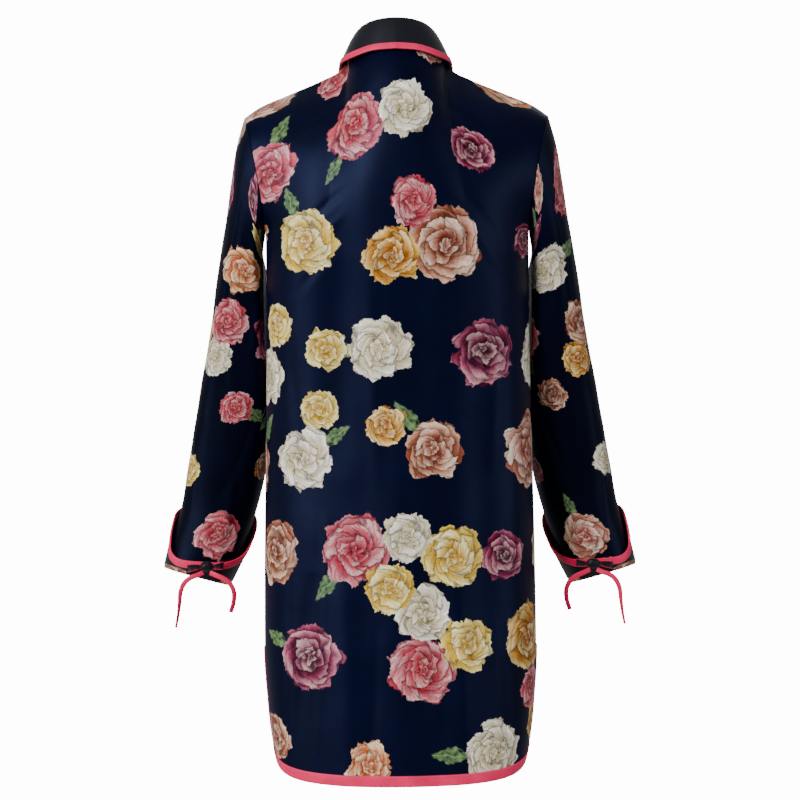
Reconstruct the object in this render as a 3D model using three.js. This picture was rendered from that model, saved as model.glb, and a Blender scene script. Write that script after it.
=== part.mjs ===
// Silk tunic shirt, empty, in the form it has when worn. Millimetres, +Z up, the back faces +Y,
// the wearer's left is +X, and the origin is the middle of the neck at the height of the shoulders.
import * as THREE from "three";

// Driving sizes
const WALL = 1.5; // cloth and its hollow side
const SEAM = 0.3; // between two pieces that are sewn together
const TAPE = 1.0; // cloth of a binding
const CENTRE_OVERLAP = 12; // each front runs this far past the centre
const UNDER_STEP = 2.6; // the under front lies this far inside the upper one
const HEM_STEP = 2.9; // and this much further in at the hem, where both fronts are bound
const SLEEVE_CLEAR = 3.2; // between a hanging sleeve and the body
const SQUARE = 0.8; // exponent of the body's rounded section: 1 is an ellipse, less is squarer
const NECK = { side: 62, back: 56, front: 64, sideUp: 9, backUp: 34, frontUp: -42 };
const FOLD = { side: 53, back: 47, front: 58, sideUp: 34, backUp: 64, frontUp: -14 };
const ARMHOLE = { top: [194, 0, -60], bottom: [168, 0, -213], halfDepth: 56, hollow: 4 };
const NECK_SHARE = 0.36; // share of a panel's width, centre to side, that ends at the neck

const SILK = new THREE.MeshStandardMaterial({ color: "#0d1130", roughness: 0.42, metalness: 0 });
const PLAIN = new THREE.MeshStandardMaterial({ color: "#25262f", roughness: 0.35, metalness: 0 });
const PINK = new THREE.MeshStandardMaterial({ color: "#e0527c", roughness: 0.45, metalness: 0 });
const SHELL = new THREE.MeshStandardMaterial({ color: "#1b1c24", roughness: 0.25, metalness: 0 });

// The body below the armholes, hem first: height at the centre and at the side edge, half width,
// depth of back and front at the centre, how far the edge stands off the side seam in the vent,
// and the steps up to the next row.
const BODY = [
  { centre: -908, side: -862, half: 161, back: 113, front: 112, off: 6.5, steps: 1 },
  { centre: -894, side: -848, half: 163.5, back: 113, front: 112, off: 6, steps: 2 },
  { centre: -815, side: -793, half: 170, back: 112, front: 112, off: 4, steps: 2 },
  { centre: -736, side: -736, half: 173.5, back: 111, front: 111, off: 1.8, steps: 1 },
  { centre: -700, side: -700, half: 173.5, back: 110, front: 110, off: SEAM / 2, steps: 2 },
  { centre: -600, side: -600, half: 172.5, back: 106, front: 107, off: SEAM / 2, steps: 3 },
  { centre: -470, side: -470, half: 170, back: 100, front: 107, off: SEAM / 2, steps: 3 },
  { centre: -345, side: -335, half: 168, back: 103, front: 114, off: SEAM / 2, steps: 3 },
  { centre: -238, side: -213, half: 168, back: 110.5, front: 119, off: SEAM / 2, steps: 0 },
];
const VENT_ROW = 3; // the row of BODY at which the side vent ends
const SLEEVE_SIDES = 20;
const YOKE_STEPS = SLEEVE_SIDES / 2; // from the armhole's bottom up to the shoulder seam

// The centre line above the armholes' level: height, depth.
const BACK_CENTRE = [
  { up: -238, depth: 110.5 },
  { up: -180, depth: 112.5 },
  { up: -130, depth: 112 },
  { up: -75, depth: 104 },
  { up: -30, depth: 90 },
  { up: 0, depth: 77 },
  { up: 20, depth: 65 },
  { up: 34, depth: 56 },
];
const FRONT_CENTRE = [
  { up: -238, depth: 119 },
  { up: -195, depth: 118.5 },
  { up: -150, depth: 115 },
  { up: -110, depth: 103 },
  { up: -75, depth: 86 },
  { up: -42, depth: 64 },
];
// The shoulder seam: distance out from the centre, height.
const SHOULDER = [
  { out: 62, up: 9 },
  { out: 72, up: -1 },
  { out: 94, up: -12.5 },
  { out: 140, up: -32 },
  { out: 180, up: -50 },
  { out: 194, up: -60 },
];
// Columns of a panel from the centre to the side; the last step is as wide as the hem's binding.
const COLUMNS = [0.1, 0.19, 0.28, NECK_SHARE, 0.45, 0.54, 0.63, 0.72, 0.81, 0.89, 0.953, 1];

// Drape folds: distance out from the centre and height at each end, half width, height of the ridge.
const BACK_FOLDS = [
  { outTop: 118, top: -90, outEnd: 126, end: -690, wide: 26, high: 4 },
  { outTop: 66, top: -70, outEnd: 74, end: -520, wide: 24, high: -4 },
  { outTop: 110, top: -640, outEnd: 132, end: -900, wide: 13, high: -5 },
  { outTop: -42, top: -560, outEnd: -50, end: -960, wide: 20, high: -5 },
  { outTop: -146, top: -330, outEnd: -150, end: -760, wide: 14, high: 2.5 },
  { outTop: -98, top: -260, outEnd: -108, end: -860, wide: 20, high: -3.5 },
  { outTop: 6, top: -420, outEnd: -4, end: -960, wide: 28, high: 3 },
  { outTop: -34, top: -100, outEnd: -24, end: -440, wide: 26, high: -3 },
  { outTop: 74, top: -600, outEnd: 66, end: -980, wide: 18, high: 3.5 },
];
const FRONT_FOLDS = [
  { outTop: 74, top: -190, outEnd: 96, end: -760, wide: 20, high: 4 },
  { outTop: 112, top: -240, outEnd: 124, end: -700, wide: 15, high: -3.5 },
  { outTop: 52, top: -330, outEnd: 58, end: -940, wide: 18, high: -4.5 },
  { outTop: -78, top: -200, outEnd: -90, end: -820, wide: 22, high: 4 },
  { outTop: -118, top: -280, outEnd: -122, end: -800, wide: 14, high: -3 },
  { outTop: -54, top: -420, outEnd: -60, end: -960, wide: 18, high: -4 },
];

// The left sleeve, armhole first: the outer and the inner point of each ring, as out, forward, up;
// half depth front to back; steps to the next ring.
const SLEEVE = [
  { outer: [194.4, 0, -60], inner: [168.4, 0, -213], deep: 56, steps: 2 },
  { outer: [206, 4, -104], inner: [171, 8, -223], deep: 55, steps: 2 },
  { outer: [217, 12, -176], inner: [172, 18, -236], deep: 54, steps: 2 },
  { outer: [230, 27, -252], inner: [168, 34, -262], deep: 53, steps: 2 },
  { outer: [242.5, 46, -335], inner: [164, 49, -338], deep: 49, steps: 2 },
  { outer: [256.5, 62, -410], inner: [161, 64, -410], deep: 45, steps: 2 },
  { outer: [271.5, 76, -495], inner: [170, 78, -495], deep: 42, steps: 2 },
  { outer: [281.5, 84, -552], inner: [182, 86, -552], deep: 40.5, steps: 2 },
  { outer: [295, 88, -602], inner: [201, 90, -610], deep: 41, steps: 2 },
  { outer: [305, 90, -637], inner: [222, 92, -661], deep: 41, steps: 0 },
];
const SLEEVE_SQUARE = 0.86;
const CUFF_FROM = 7; // the cuff covers the sleeve from this row of SLEEVE down

// Creases down the sleeve: turn in degrees from the outer side over the back, height range,
// half width in degrees, height of the ridge.
const SLEEVE_FOLDS = [
  { turnTop: 112, top: -110, turnEnd: 128, end: -440, wide: 16, high: 4 },
  { turnTop: 62, top: -180, turnEnd: 72, end: -520, wide: 16, high: -3 },
  { turnTop: 262, top: -160, turnEnd: 244, end: -540, wide: 18, high: 3.5 },
  { turnTop: 306, top: -220, turnEnd: 300, end: -500, wide: 16, high: -3 },
];

// The cuff's upper edge: turn in degrees, height. It is notched low at the back of the wrist.
const CUFF_EDGE = [
  { turn: 0, up: -568 },
  { turn: 14, up: -589 },
  { turn: 28, up: -609 },
  { turn: 45, up: -620 },
  { turn: 90, up: -629 },
  { turn: 135, up: -628 },
  { turn: 155, up: -621 },
  { turn: 170, up: -610 },
  { turn: 185, up: -592 },
  { turn: 215, up: -570 },
  { turn: 270, up: -560 },
  { turn: 330, up: -560 },
  { turn: 360, up: -568 },
];
const CUFF_FLARE = { outer: 1, inner: 3, flat: 2.6 }; // how far the upper edge stands off the sleeve
const CUFF_ROWS = [0, 0.34, 1]; // bottom fold, mid, lower edge of the binding; the binding is above
const CUFF_TAPE = 9;

// The bow at the back of each wrist, drawn for the left one: out, back, up.
const KNOT = { at: [249, -38.6, -635], half: [8.5, 5.5, 7] };
const LOOPS = [
  { name: "outer", reach: 25, rise: 0, wide: 10 },
  { name: "inner", reach: -22, rise: 0, wide: 10 },
];
const TAIL_WIDE = 6.4;
const TAIL_THICK = 1.6;
const TAILS = [
  {
    name: "outer",
    route: [[253.6, -36.9, -642.6], [261, -33.5, -645.8], [269.5, -32, -649], [277, -31.8, -655],
      [282, -32.5, -665], [284, -34, -681], [286, -35.5, -697], [289, -37, -713]],
  },
  {
    name: "inner",
    route: [[244.8, -36.9, -642.8], [236, -33.7, -646.5], [227, -33, -650.5], [218.5, -33.5, -657.5],
      [214, -35, -668], [214.5, -36.5, -681], [218.5, -38, -694]],
  },
];

const BUTTON = { radius: 5.5, thick: 2.2, rim: 0.5, sides: 14 };
const BUTTON_HEIGHTS = [-92, -190, -288, -386, -484, -582, -680, -778];

// Vectors as [x, y, z]
const add = (a, b, k = 1) => [a[0] + b[0] * k, a[1] + b[1] * k, a[2] + b[2] * k];
const sub = (a, b) => add(a, b, -1);
const dot = (a, b) => a[0] * b[0] + a[1] * b[1] + a[2] * b[2];
const cross = (a, b) => [
  a[1] * b[2] - a[2] * b[1],
  a[2] * b[0] - a[0] * b[2],
  a[0] * b[1] - a[1] * b[0],
];
const unit = (a) => {
  const length = Math.hypot(...a) || 1;
  return [a[0] / length, a[1] / length, a[2] / length];
};
const mix = (a, b, t) => add(a, sub(b, a), t);
const smooth = (t) => {
  const s = Math.min(1, Math.max(0, t));
  return s * s * (3 - 2 * s);
};
const radians = (degrees) => (degrees * Math.PI) / 180;
const power = (value, exponent) => Math.sign(value) * Math.abs(value) ** exponent;
const range = (count) => Array.from({ length: count }, (_, i) => i);

// A smooth curve through values at rising knots, read at one place.
function through(knots, values, at) {
  const last = knots.length - 1;
  const place = Math.min(knots[last], Math.max(knots[0], at));
  let k = 0;
  while (k < last - 1 && place > knots[k + 1]) k += 1;
  const step = (i) => (values[i + 1] - values[i]) / (knots[i + 1] - knots[i]);
  const slope = (i) => {
    if (i === 0) return step(0);
    if (i === last) return step(last - 1);
    const before = knots[i] - knots[i - 1];
    const after = knots[i + 1] - knots[i];
    return (step(i - 1) * after + step(i) * before) / (before + after);
  };
  const wide = knots[k + 1] - knots[k];
  const t = (place - knots[k]) / wide;
  const a = (1 + 2 * t) * (1 - t) ** 2 * values[k] + t * (1 - t) ** 2 * wide * slope(k);
  const b = t * t * (3 - 2 * t) * values[k + 1] + t * t * (t - 1) * wide * slope(k + 1);
  return a + b;
}

// The value of one column of a table at a place of another column.
function column(table, knot, name, at) {
  return through(table.map((row) => row[knot]), table.map((row) => row[name]), at);
}

// Height of the neck or of the collar's fold round the neck: turn 0 is the back, pi the front.
function ringUp(ring, turn) {
  const c = Math.cos(turn);
  const tilt = (ring.backUp - ring.frontUp) / 2;
  const dip = (ring.backUp + ring.frontUp) / 2 - ring.sideUp;
  return ring.sideUp + tilt * c + dip * c * c;
}
function ringPoint(ring, turn) {
  const c = Math.cos(turn);
  return [ring.side * Math.sin(turn), (c > 0 ? ring.back : ring.front) * c, ringUp(ring, turn)];
}

// The armhole seam: turn 0 is its top, and half a turn later it is under the arm; face is 1 for
// the back and -1 for the front.
function armhole(turn, face) {
  const middle = mix(ARMHOLE.top, ARMHOLE.bottom, 0.5);
  const reach = sub(ARMHOLE.top, middle);
  const place = add(middle, reach, Math.cos(turn));
  const side = Math.abs(Math.sin(turn)) ** 0.92;
  return add(place, [-ARMHOLE.hollow * side * side, face * ARMHOLE.halfDepth * side, 0]);
}

// A level of the body below the armholes at a share of the way from the centre to the side.
function bodyRow(row, face, share) {
  const across = Math.sin((share * Math.PI) / 2) ** SQUARE;
  const deep = Math.max(0, Math.cos((share * Math.PI) / 2)) ** SQUARE;
  const depth = face > 0 ? row.back : row.front;
  const rise = 0.5 * share ** 2 + 0.5 * share ** 6;
  return [
    row.half * across,
    face * (row.off + (depth - row.off) * deep),
    row.centre + (row.side - row.centre) * rise,
  ];
}

// The top edge of a panel: the neck from the centre to the side of the neck, then the shoulder seam.
function topEdge(face, share) {
  if (share < NECK_SHARE) {
    const quarter = (share / NECK_SHARE) * (Math.PI / 2);
    return ringPoint(NECK, face > 0 ? quarter : Math.PI - quarter);
  }
  const t = (share - NECK_SHARE) / (1 - NECK_SHARE);
  const out = NECK.side + (ARMHOLE.top[0] - NECK.side) * t;
  return [out, 0, column(SHOULDER, "out", "up", out)];
}

// Upper part of a panel, from the armhole's bottom (rise 0) to its top edge (rise 1). Each level is
// the body's rounded section, cut off where it meets the armhole, and it gives way slowly to the
// neck and the shoulder seam.
function sectionArc(face, share, rise) {
  const centre = face > 0 ? BACK_CENTRE : FRONT_CENTRE;
  const up = centre[0].up + (centre[centre.length - 1].up - centre[0].up) * rise;
  const depth = column(centre, "up", "depth", up);
  const edge = armhole(Math.PI * (1 - rise), face);
  const edgeDepth = rise > 0 && rise < 1 ? Math.abs(edge[1]) : 0;
  const whole = Math.acos((edgeDepth / depth) ** (1 / SQUARE));
  const reach = edge[0] / Math.sin(whole) ** SQUARE;
  const climb = 0.5 * share ** 2 + 0.5 * share ** 6;
  return [
    reach * Math.sin(whole * share) ** SQUARE,
    face * depth * Math.max(0, Math.cos(whole * share)) ** SQUARE,
    up + (edge[2] - up) * climb,
  ];
}
function upperPatch(face, share, rise) {
  const toTop = sub(topEdge(face, share), sectionArc(face, share, 1));
  return add(sectionArc(face, share, rise), toTop, rise ** 1.8);
}

// A point of a panel: level counts BODY's rows from the hem, then runs on to the top edge.
const ARM_LEVEL = BODY.length - 1;
function panelPoint(face, share, level) {
  if (level > ARM_LEVEL) return upperPatch(face, share, level - ARM_LEVEL);
  const knots = BODY.map((row) => row.centre);
  const k = Math.min(ARM_LEVEL - 1, Math.floor(level));
  const at = knots[k] + (knots[k + 1] - knots[k]) * (level - k);
  const rows = BODY.map((row) => bodyRow(row, face, share));
  return [0, 1, 2].map((i) => through(knots, rows.map((p) => p[i]), at));
}

// How far the drape folds lift the cloth at a place.
function foldHeight(folds, out, up) {
  let height = 0;
  for (const fold of folds) {
    const t = (up - fold.top) / (fold.end - fold.top);
    if (t > 0 && t < 1) {
      const line = fold.outTop + (fold.outEnd - fold.outTop) * t;
      height += fold.high * Math.sin(Math.PI * t) ** 0.7 * Math.exp(-(((out - line) / fold.wide) ** 2));
    }
  }
  return height;
}

// Normals of a grid of points, from its neighbours; wrap joins the last column to the first.
function gridNormals(grid, wrap, facing) {
  const columns = grid.length;
  return grid.map((line, i) =>
    line.map((_, j) => {
      const left = wrap ? (i + columns - 1) % columns : Math.max(0, i - 1);
      const right = wrap ? (i + 1) % columns : Math.min(columns - 1, i + 1);
      const along = sub(grid[right][j], grid[left][j]);
      const upward = sub(line[Math.min(line.length - 1, j + 1)], line[Math.max(0, j - 1)]);
      return add([0, 0, 0], unit(cross(along, upward)), facing);
    }),
  );
}

// A mesh from points and triangles, turned so that its faces point out.
function solid(name, points, triangles, material) {
  let volume = 0;
  for (const [a, b, c] of triangles) volume += dot(points[a], cross(points[b], points[c]));
  const facing = volume < 0 ? triangles.map(([a, b, c]) => [a, c, b]) : triangles;
  const geometry = new THREE.BufferGeometry();
  geometry.setAttribute("position", new THREE.Float32BufferAttribute(points.flat(), 3));
  geometry.setIndex(facing.flat());
  geometry.computeVertexNormals();
  const mesh = new THREE.Mesh(geometry, material);
  mesh.name = name;
  return mesh;
}

// Loops of equal length joined one to the next, closed by caps or, in a ring, onto themselves.
function lofted(name, loops, material, ring, cap) {
  const size = loops[0].length;
  const triangles = [];
  const pairs = ring ? loops.length : loops.length - 1;
  for (let i = 0; i < pairs; i += 1) {
    const here = i * size;
    const next = ((i + 1) % loops.length) * size;
    for (let k = 0; k < size; k += 1) {
      const k2 = (k + 1) % size;
      triangles.push([here + k, next + k, next + k2], [here + k, next + k2, here + k2]);
    }
  }
  if (!ring) {
    const end = (loops.length - 1) * size;
    for (const [a, b, c] of cap) {
      triangles.push([a, b, c], [end + a, end + c, end + b]);
    }
  }
  return solid(name, loops.flat(), triangles, material);
}

// A cloth wall between an outer and an inner grid. Each column, up the outer face and down the
// inner one, is a loop; wrap makes a tube of it.
function wall(name, cloth, material) {
  const rows = cloth.outer[0].length;
  const loops = cloth.outer.map((line, i) => [...line, ...[...cloth.inner[i]].reverse()]);
  const cap = [];
  for (let j = 0; j < rows - 1; j += 1) {
    const back = 2 * rows - 1 - j;
    cap.push([j, j + 1, back - 1], [j, back - 1, back]);
  }
  return lofted(name, loops, material, cloth.wrap, cap);
}

// Gives an outer grid its inner face. flatten may change the direction of the wall at an edge.
function clothFrom(outer, wrap, facing, flatten, thick = WALL) {
  const normals = gridNormals(outer, wrap, facing).map((line, i) =>
    line.map((n, j) => (flatten ? unit(flatten(n, i, j)) : n)),
  );
  const inner = outer.map((line, i) => line.map((p, j) => add(p, normals[i][j], -thick)));
  return { outer, inner, normals, wrap };
}

// A tape folded over an edge. Each station names a point of the edge and one a tape's width in
// from it, both with the wall's normal there; the tape lies outside and inside and wraps the edge.
const TAPE_CAP = [[0, 1, 7], [0, 7, 8], [1, 2, 7], [2, 6, 7], [2, 3, 6], [3, 4, 5], [3, 5, 6]];
function binding(name, stations, material, ring = false, thick = WALL) {
  const loops = stations.map(({ edge, inside, edgeNormal, insideNormal }) => {
    const across = sub(edge, inside);
    const away = unit(add(across, edgeNormal, -dot(across, edgeNormal)));
    const out = (d) => add(inside, insideNormal, d);
    const at = (d, past) => add(add(edge, edgeNormal, d), away, past);
    const far = SEAM + TAPE;
    return [
      out(far), at(far * 0.9, SEAM), at(-thick / 2, far), at(-thick - far * 0.9, SEAM),
      out(-thick - far), out(-thick - SEAM), at(-thick - SEAM, SEAM), at(SEAM, SEAM), out(SEAM),
    ];
  });
  return lofted(name, loops, material, ring, TAPE_CAP);
}
function station(cloth, edge, inside, slide = null, share = 0) {
  const inPoint = cloth.outer[inside[0]][inside[1]];
  const inNormal = cloth.normals[inside[0]][inside[1]];
  const moved = slide ? mix(inPoint, cloth.outer[slide[0]][slide[1]], share) : inPoint;
  const turned = slide ? unit(mix(inNormal, cloth.normals[slide[0]][slide[1]], share)) : inNormal;
  return {
    edge: cloth.outer[edge[0]][edge[1]],
    edgeNormal: cloth.normals[edge[0]][edge[1]],
    inside: moved,
    insideNormal: turned,
  };
}

// Levels of a panel's grid lines, hem first.
const LEVELS = [];
BODY.forEach((row, k) => range(row.steps).forEach((i) => LEVELS.push(k + i / row.steps)));
range(YOKE_STEPS + 1).forEach((i) => LEVELS.push(ARM_LEVEL + i / YOKE_STEPS));
const VENT_LINE = LEVELS.findIndex((level) => level >= VENT_ROW);
const ARM_LINE = LEVELS.findIndex((level) => level >= ARM_LEVEL);

// The share at which a panel reaches a distance out from the centre.
function shareAt(face, level, out) {
  let low = 0;
  let high = 0.5;
  for (let i = 0; i < 30; i += 1) {
    const share = (low + high) / 2;
    if (panelPoint(face, share, level)[0] < out) low = share;
    else high = share;
  }
  return (low + high) / 2;
}

// A panel's surface with its folds: side 1 is the wearer's left, -1 the right.
function panelSurface(face, folds, share, level, side) {
  const place = panelPoint(face, Math.abs(share), level);
  const out = place[0] * side * (share < 0 ? -1 : 1);
  const edgeFade = 1 - smooth((Math.abs(share) - 0.78) / 0.2);
  const topFade = 1 - smooth((level - ARM_LEVEL - 0.3) / 0.6);
  const centreFade = face > 0 ? 1 : smooth((Math.abs(out) - 20) / 25);
  const lift = foldHeight(folds, out, place[2]) * edgeFade * topFade * centreFade;
  return [out, place[1] + face * lift, place[2]];
}

// Parts two panels at the seam: the side and shoulder seams lie in the plane y = 0.
function seamed(face, grid) {
  const last = grid.length - 1;
  const top = LEVELS.length - 1;
  grid.forEach((line, i) => {
    line.forEach((p, j) => {
      if (face * p[1] < SEAM / 2) p[1] = (face * SEAM) / 2;
      if (i === last && j > ARM_LINE && j < top) p[0] -= Math.sign(p[0]) * (SEAM / 2);
    });
  });
  return grid;
}
// Where a panel's edge lies on a seam, its wall runs along the seam's plane.
function seamWall(edges) {
  return (n, i, j) => {
    const onSide = edges.sides.includes(i) && j <= ARM_LINE && j >= VENT_LINE;
    const onTop = j === LEVELS.length - 1 && edges.shoulder(i);
    return onSide || onTop ? [n[0], 0, n[2]] : n;
  };
}

function backPanel() {
  const shares = [...[...COLUMNS].reverse().map((s) => -s), 0, ...COLUMNS];
  const grid = shares.map((share) =>
    LEVELS.map((level) => panelSurface(1, BACK_FOLDS, share, level, 1)),
  );
  const last = grid.length - 1;
  const turnedGrid = seamed(1, grid);
  seamed(1, turnedGrid.slice().reverse());
  const isShoulder = (i) => Math.abs(shares[i]) >= NECK_SHARE - 1e-6;
  return clothFrom(turnedGrid, false, -1, seamWall({ sides: [0, last], shoulder: isShoulder }));
}

// The right front lies over the left one at the centre.
function frontPanel(side) {
  const under = side > 0;
  const grid = [-1, 0, 1].map((k) =>
    LEVELS.map((level) => {
      const share = k * shareAt(-1, level, CENTRE_OVERLAP);
      return panelSurface(-1, FRONT_FOLDS, share, level, side);
    }),
  );
  COLUMNS.forEach((share) =>
    grid.push(LEVELS.map((level) => panelSurface(-1, FRONT_FOLDS, share, level, side))),
  );
  const last = grid.length - 1;
  const isShoulder = (i) => i > 2 && COLUMNS[i - 3] >= NECK_SHARE - 1e-6;
  const flatten = seamWall({ sides: [last], shoulder: isShoulder });
  const facing = side > 0 ? 1 : -1;
  if (under) {
    const normals = gridNormals(grid, false, facing);
    grid.forEach((line, i) =>
      line.forEach((p, j) => {
        const step = UNDER_STEP + HEM_STEP * (1 - smooth(LEVELS[j] / 2.5));
        const inset = step * (1 - smooth((Math.abs(p[0]) - CENTRE_OVERLAP - 3) / 22));
        line[j] = add(p, normals[i][j], -inset);
      }),
    );
  }
  return clothFrom(seamed(-1, grid), false, facing, flatten);
}

// The hem's binding runs along the hem and up each vent's edge to the line below its top.
function hemBinding(name, cloth, sides) {
  const last = cloth.outer.length - 1;
  const turn = 0.16;
  const ventUp = (edge, inner) =>
    range(VENT_LINE + 1).slice(1).map((j) =>
      j === 1
        ? station(cloth, [edge, 1], [inner, 1], [inner, 2], turn)
        : station(cloth, [edge, j], [inner, j]),
    );
  const path = [];
  if (sides.first) path.push(...ventUp(0, 1).reverse());
  for (let i = 0; i <= last; i += 1) {
    const atFirst = sides.first && i <= 1;
    const atLast = sides.last && i >= last - 1;
    if (atFirst && i === 0) path.push(station(cloth, [0, 0], [1, 1]));
    else if (atFirst) path.push(station(cloth, [1, 0], [1, 1], [2, 1], turn));
    else if (atLast && i === last) path.push(station(cloth, [last, 0], [last - 1, 1]));
    else if (atLast) path.push(station(cloth, [i, 0], [i, 1], [i - 1, 1], turn));
    else path.push(station(cloth, [i, 0], [i, 1]));
  }
  if (sides.last) path.push(...ventUp(last, last - 1));
  return binding(name, path, PINK);
}

// How far out the body's side reaches at a depth and a height, for a sleeve that hangs beside it.
function bodyOut(y, up) {
  const at = Math.min(up, BODY[ARM_LEVEL].side);
  const half = column(BODY, "centre", "half", at);
  const depth = column(BODY, "centre", y > 0 ? "back" : "front", at);
  const share = Math.min(1, Math.abs(y) / depth);
  return half * (1 - share ** (2 / SQUARE)) ** (SQUARE / 2);
}

// A ring of the sleeve at a turn in degrees: 0 is its outer side, 90 its back, 180 its inner side.
function sleeveRing(row, turn) {
  const outer = [row.outer[0], -row.outer[1], row.outer[2]];
  const inner = [row.inner[0], -row.inner[1], row.inner[2]];
  const middle = mix(outer, inner, 0.5);
  const c = power(Math.cos(radians(turn)), SLEEVE_SQUARE);
  const s = power(Math.sin(radians(turn)), SLEEVE_SQUARE);
  return add(add(middle, sub(outer, middle), c), [0, row.deep * s, 0]);
}
function sleevePoint(turn, level) {
  const knots = SLEEVE.map((_, k) => k);
  const rings = SLEEVE.map((row, k) => {
    if (k > 0) return sleeveRing(row, turn);
    const face = Math.sin(radians(turn)) < 0 ? -1 : 1;
    const seam = armhole(radians(Math.min(turn, 360 - turn)), face);
    return add(seam, [SEAM + 0.5 - 0.3 * Math.cos(radians(turn)), 0, 0]);
  });
  const p = [0, 1, 2].map((i) => through(knots, rings.map((q) => q[i]), level));
  if (level === 0) return p;
  let lift = 0;
  for (const fold of SLEEVE_FOLDS) {
    const t = (p[2] - fold.top) / (fold.end - fold.top);
    if (t > 0 && t < 1) {
      const line = fold.turnTop + (fold.turnEnd - fold.turnTop) * t;
      lift += fold.high * Math.sin(Math.PI * t) * Math.exp(-(((turn - line) / fold.wide) ** 2));
    }
  }
  const row = SLEEVE[Math.round(level)];
  const axis = mix(sleeveRing(row, 0), sleeveRing(row, 180), 0.5);
  const outward = unit([p[0] - axis[0], p[1] - axis[1], 0]);
  const folded = add(p, outward, lift);
  const clear = SLEEVE_CLEAR * smooth(level / 1.5) + SEAM * 2;
  if (folded[2] < ARMHOLE.bottom[2] + 8) {
    folded[0] = Math.max(folded[0], bodyOut(folded[1], folded[2]) + clear);
  }
  return folded;
}
const SLEEVE_LEVELS = [];
SLEEVE.forEach((row, k) => range(row.steps).forEach((i) => SLEEVE_LEVELS.push(k + i / row.steps)));
SLEEVE_LEVELS.push(SLEEVE.length - 1);

function sleeve() {
  const grid = range(SLEEVE_SIDES).map((i) =>
    SLEEVE_LEVELS.map((level) => sleevePoint((i * 360) / SLEEVE_SIDES, level)),
  );
  // At the armhole the wall runs in the plane of the seam, towards the armhole's middle.
  const middle = mix(ARMHOLE.top, ARMHOLE.bottom, 0.5);
  const flatten = (n, i, j) => {
    if (j > 0) return n;
    const outward = sub(grid[i][0], middle);
    return [0, outward[1], outward[2]];
  };
  return clothFrom(grid, true, -1, flatten);
}

// The cuff is turned back over the sleeve's end and flares towards its upper edge.
function cuff() {
  const levelAt = (turn, up) => {
    const rows = range(SLEEVE.length).map((k) => sleevePoint(turn, k)[2]);
    let k = CUFF_FROM - 1;
    while (k < SLEEVE.length - 2 && rows[k + 1] > up) k += 1;
    return Math.min(SLEEVE.length - 1, k + (rows[k] - up) / (rows[k] - rows[k + 1]));
  };
  const grid = range(SLEEVE_SIDES).map((i) => {
    const turn = (i * 360) / SLEEVE_SIDES;
    const bottom = SLEEVE.length - 1;
    const lowest = sleevePoint(turn, bottom)[2];
    const top = column(CUFF_EDGE, "turn", "up", turn);
    const tape = (top - lowest - CUFF_TAPE) / (top - lowest);
    const c = Math.cos(radians(turn));
    const flare = CUFF_FLARE.flat + (c > 0 ? CUFF_FLARE.outer : CUFF_FLARE.inner) * Math.abs(c) ** 1.5;
    return [...CUFF_ROWS.map((t) => t * tape), 1].map((share) => {
      const level = levelAt(turn, lowest + (top - lowest) * share);
      const p = sleevePoint(turn, level);
      const axis = mix(sleevePoint(0, level), sleevePoint(180, level), 0.5);
      const outward = unit([p[0] - axis[0], p[1] - axis[1], 0]);
      return add(p, outward, WALL + 0.6 + flare * share);
    });
  });
  return clothFrom(grid, true, 1, (n, i, j) => (j === 0 ? [n[0], n[1], 0] : n));
}
function cuffBinding(name, cloth) {
  const top = cloth.outer[0].length - 1;
  const path = cloth.outer.map((_, i) => station(cloth, [i, top], [i, top - 1]));
  return binding(name, path.reverse(), PINK, true);
}

// The collar stand: one strip whose left end runs on under its right end at the front.
const COLLAR_STEPS = 28;
const STAND_PAST = 0.2; // radians that each end runs past the centre front
function standPoint(turn, share) {
  const inset = turn > 0 ? UNDER_STEP * smooth((turn - Math.PI + 2 * STAND_PAST) / STAND_PAST) : 0;
  const end = smooth((Math.abs(turn) - Math.PI + STAND_PAST) / (2 * STAND_PAST));
  const low = add(ringPoint(NECK, turn), [0, 0, 2 * SEAM]);
  const high = add(ringPoint(FOLD, turn), [0, 0, -1 - 6 * end]);
  const p = mix(low, high, share);
  return add(p, unit([-p[0], -p[1], 0]), inset);
}
function collarStand() {
  const grid = range(COLLAR_STEPS + 1).map((i) => {
    const turn = (Math.PI + STAND_PAST) * ((2 * i) / COLLAR_STEPS - 1);
    return [0, 0.5, 1].map((share) => standPoint(turn, share));
  });
  return clothFrom(grid, false, -1, (n, i, j) => (j === 0 ? [n[0], n[1], 0] : n));
}

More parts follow.
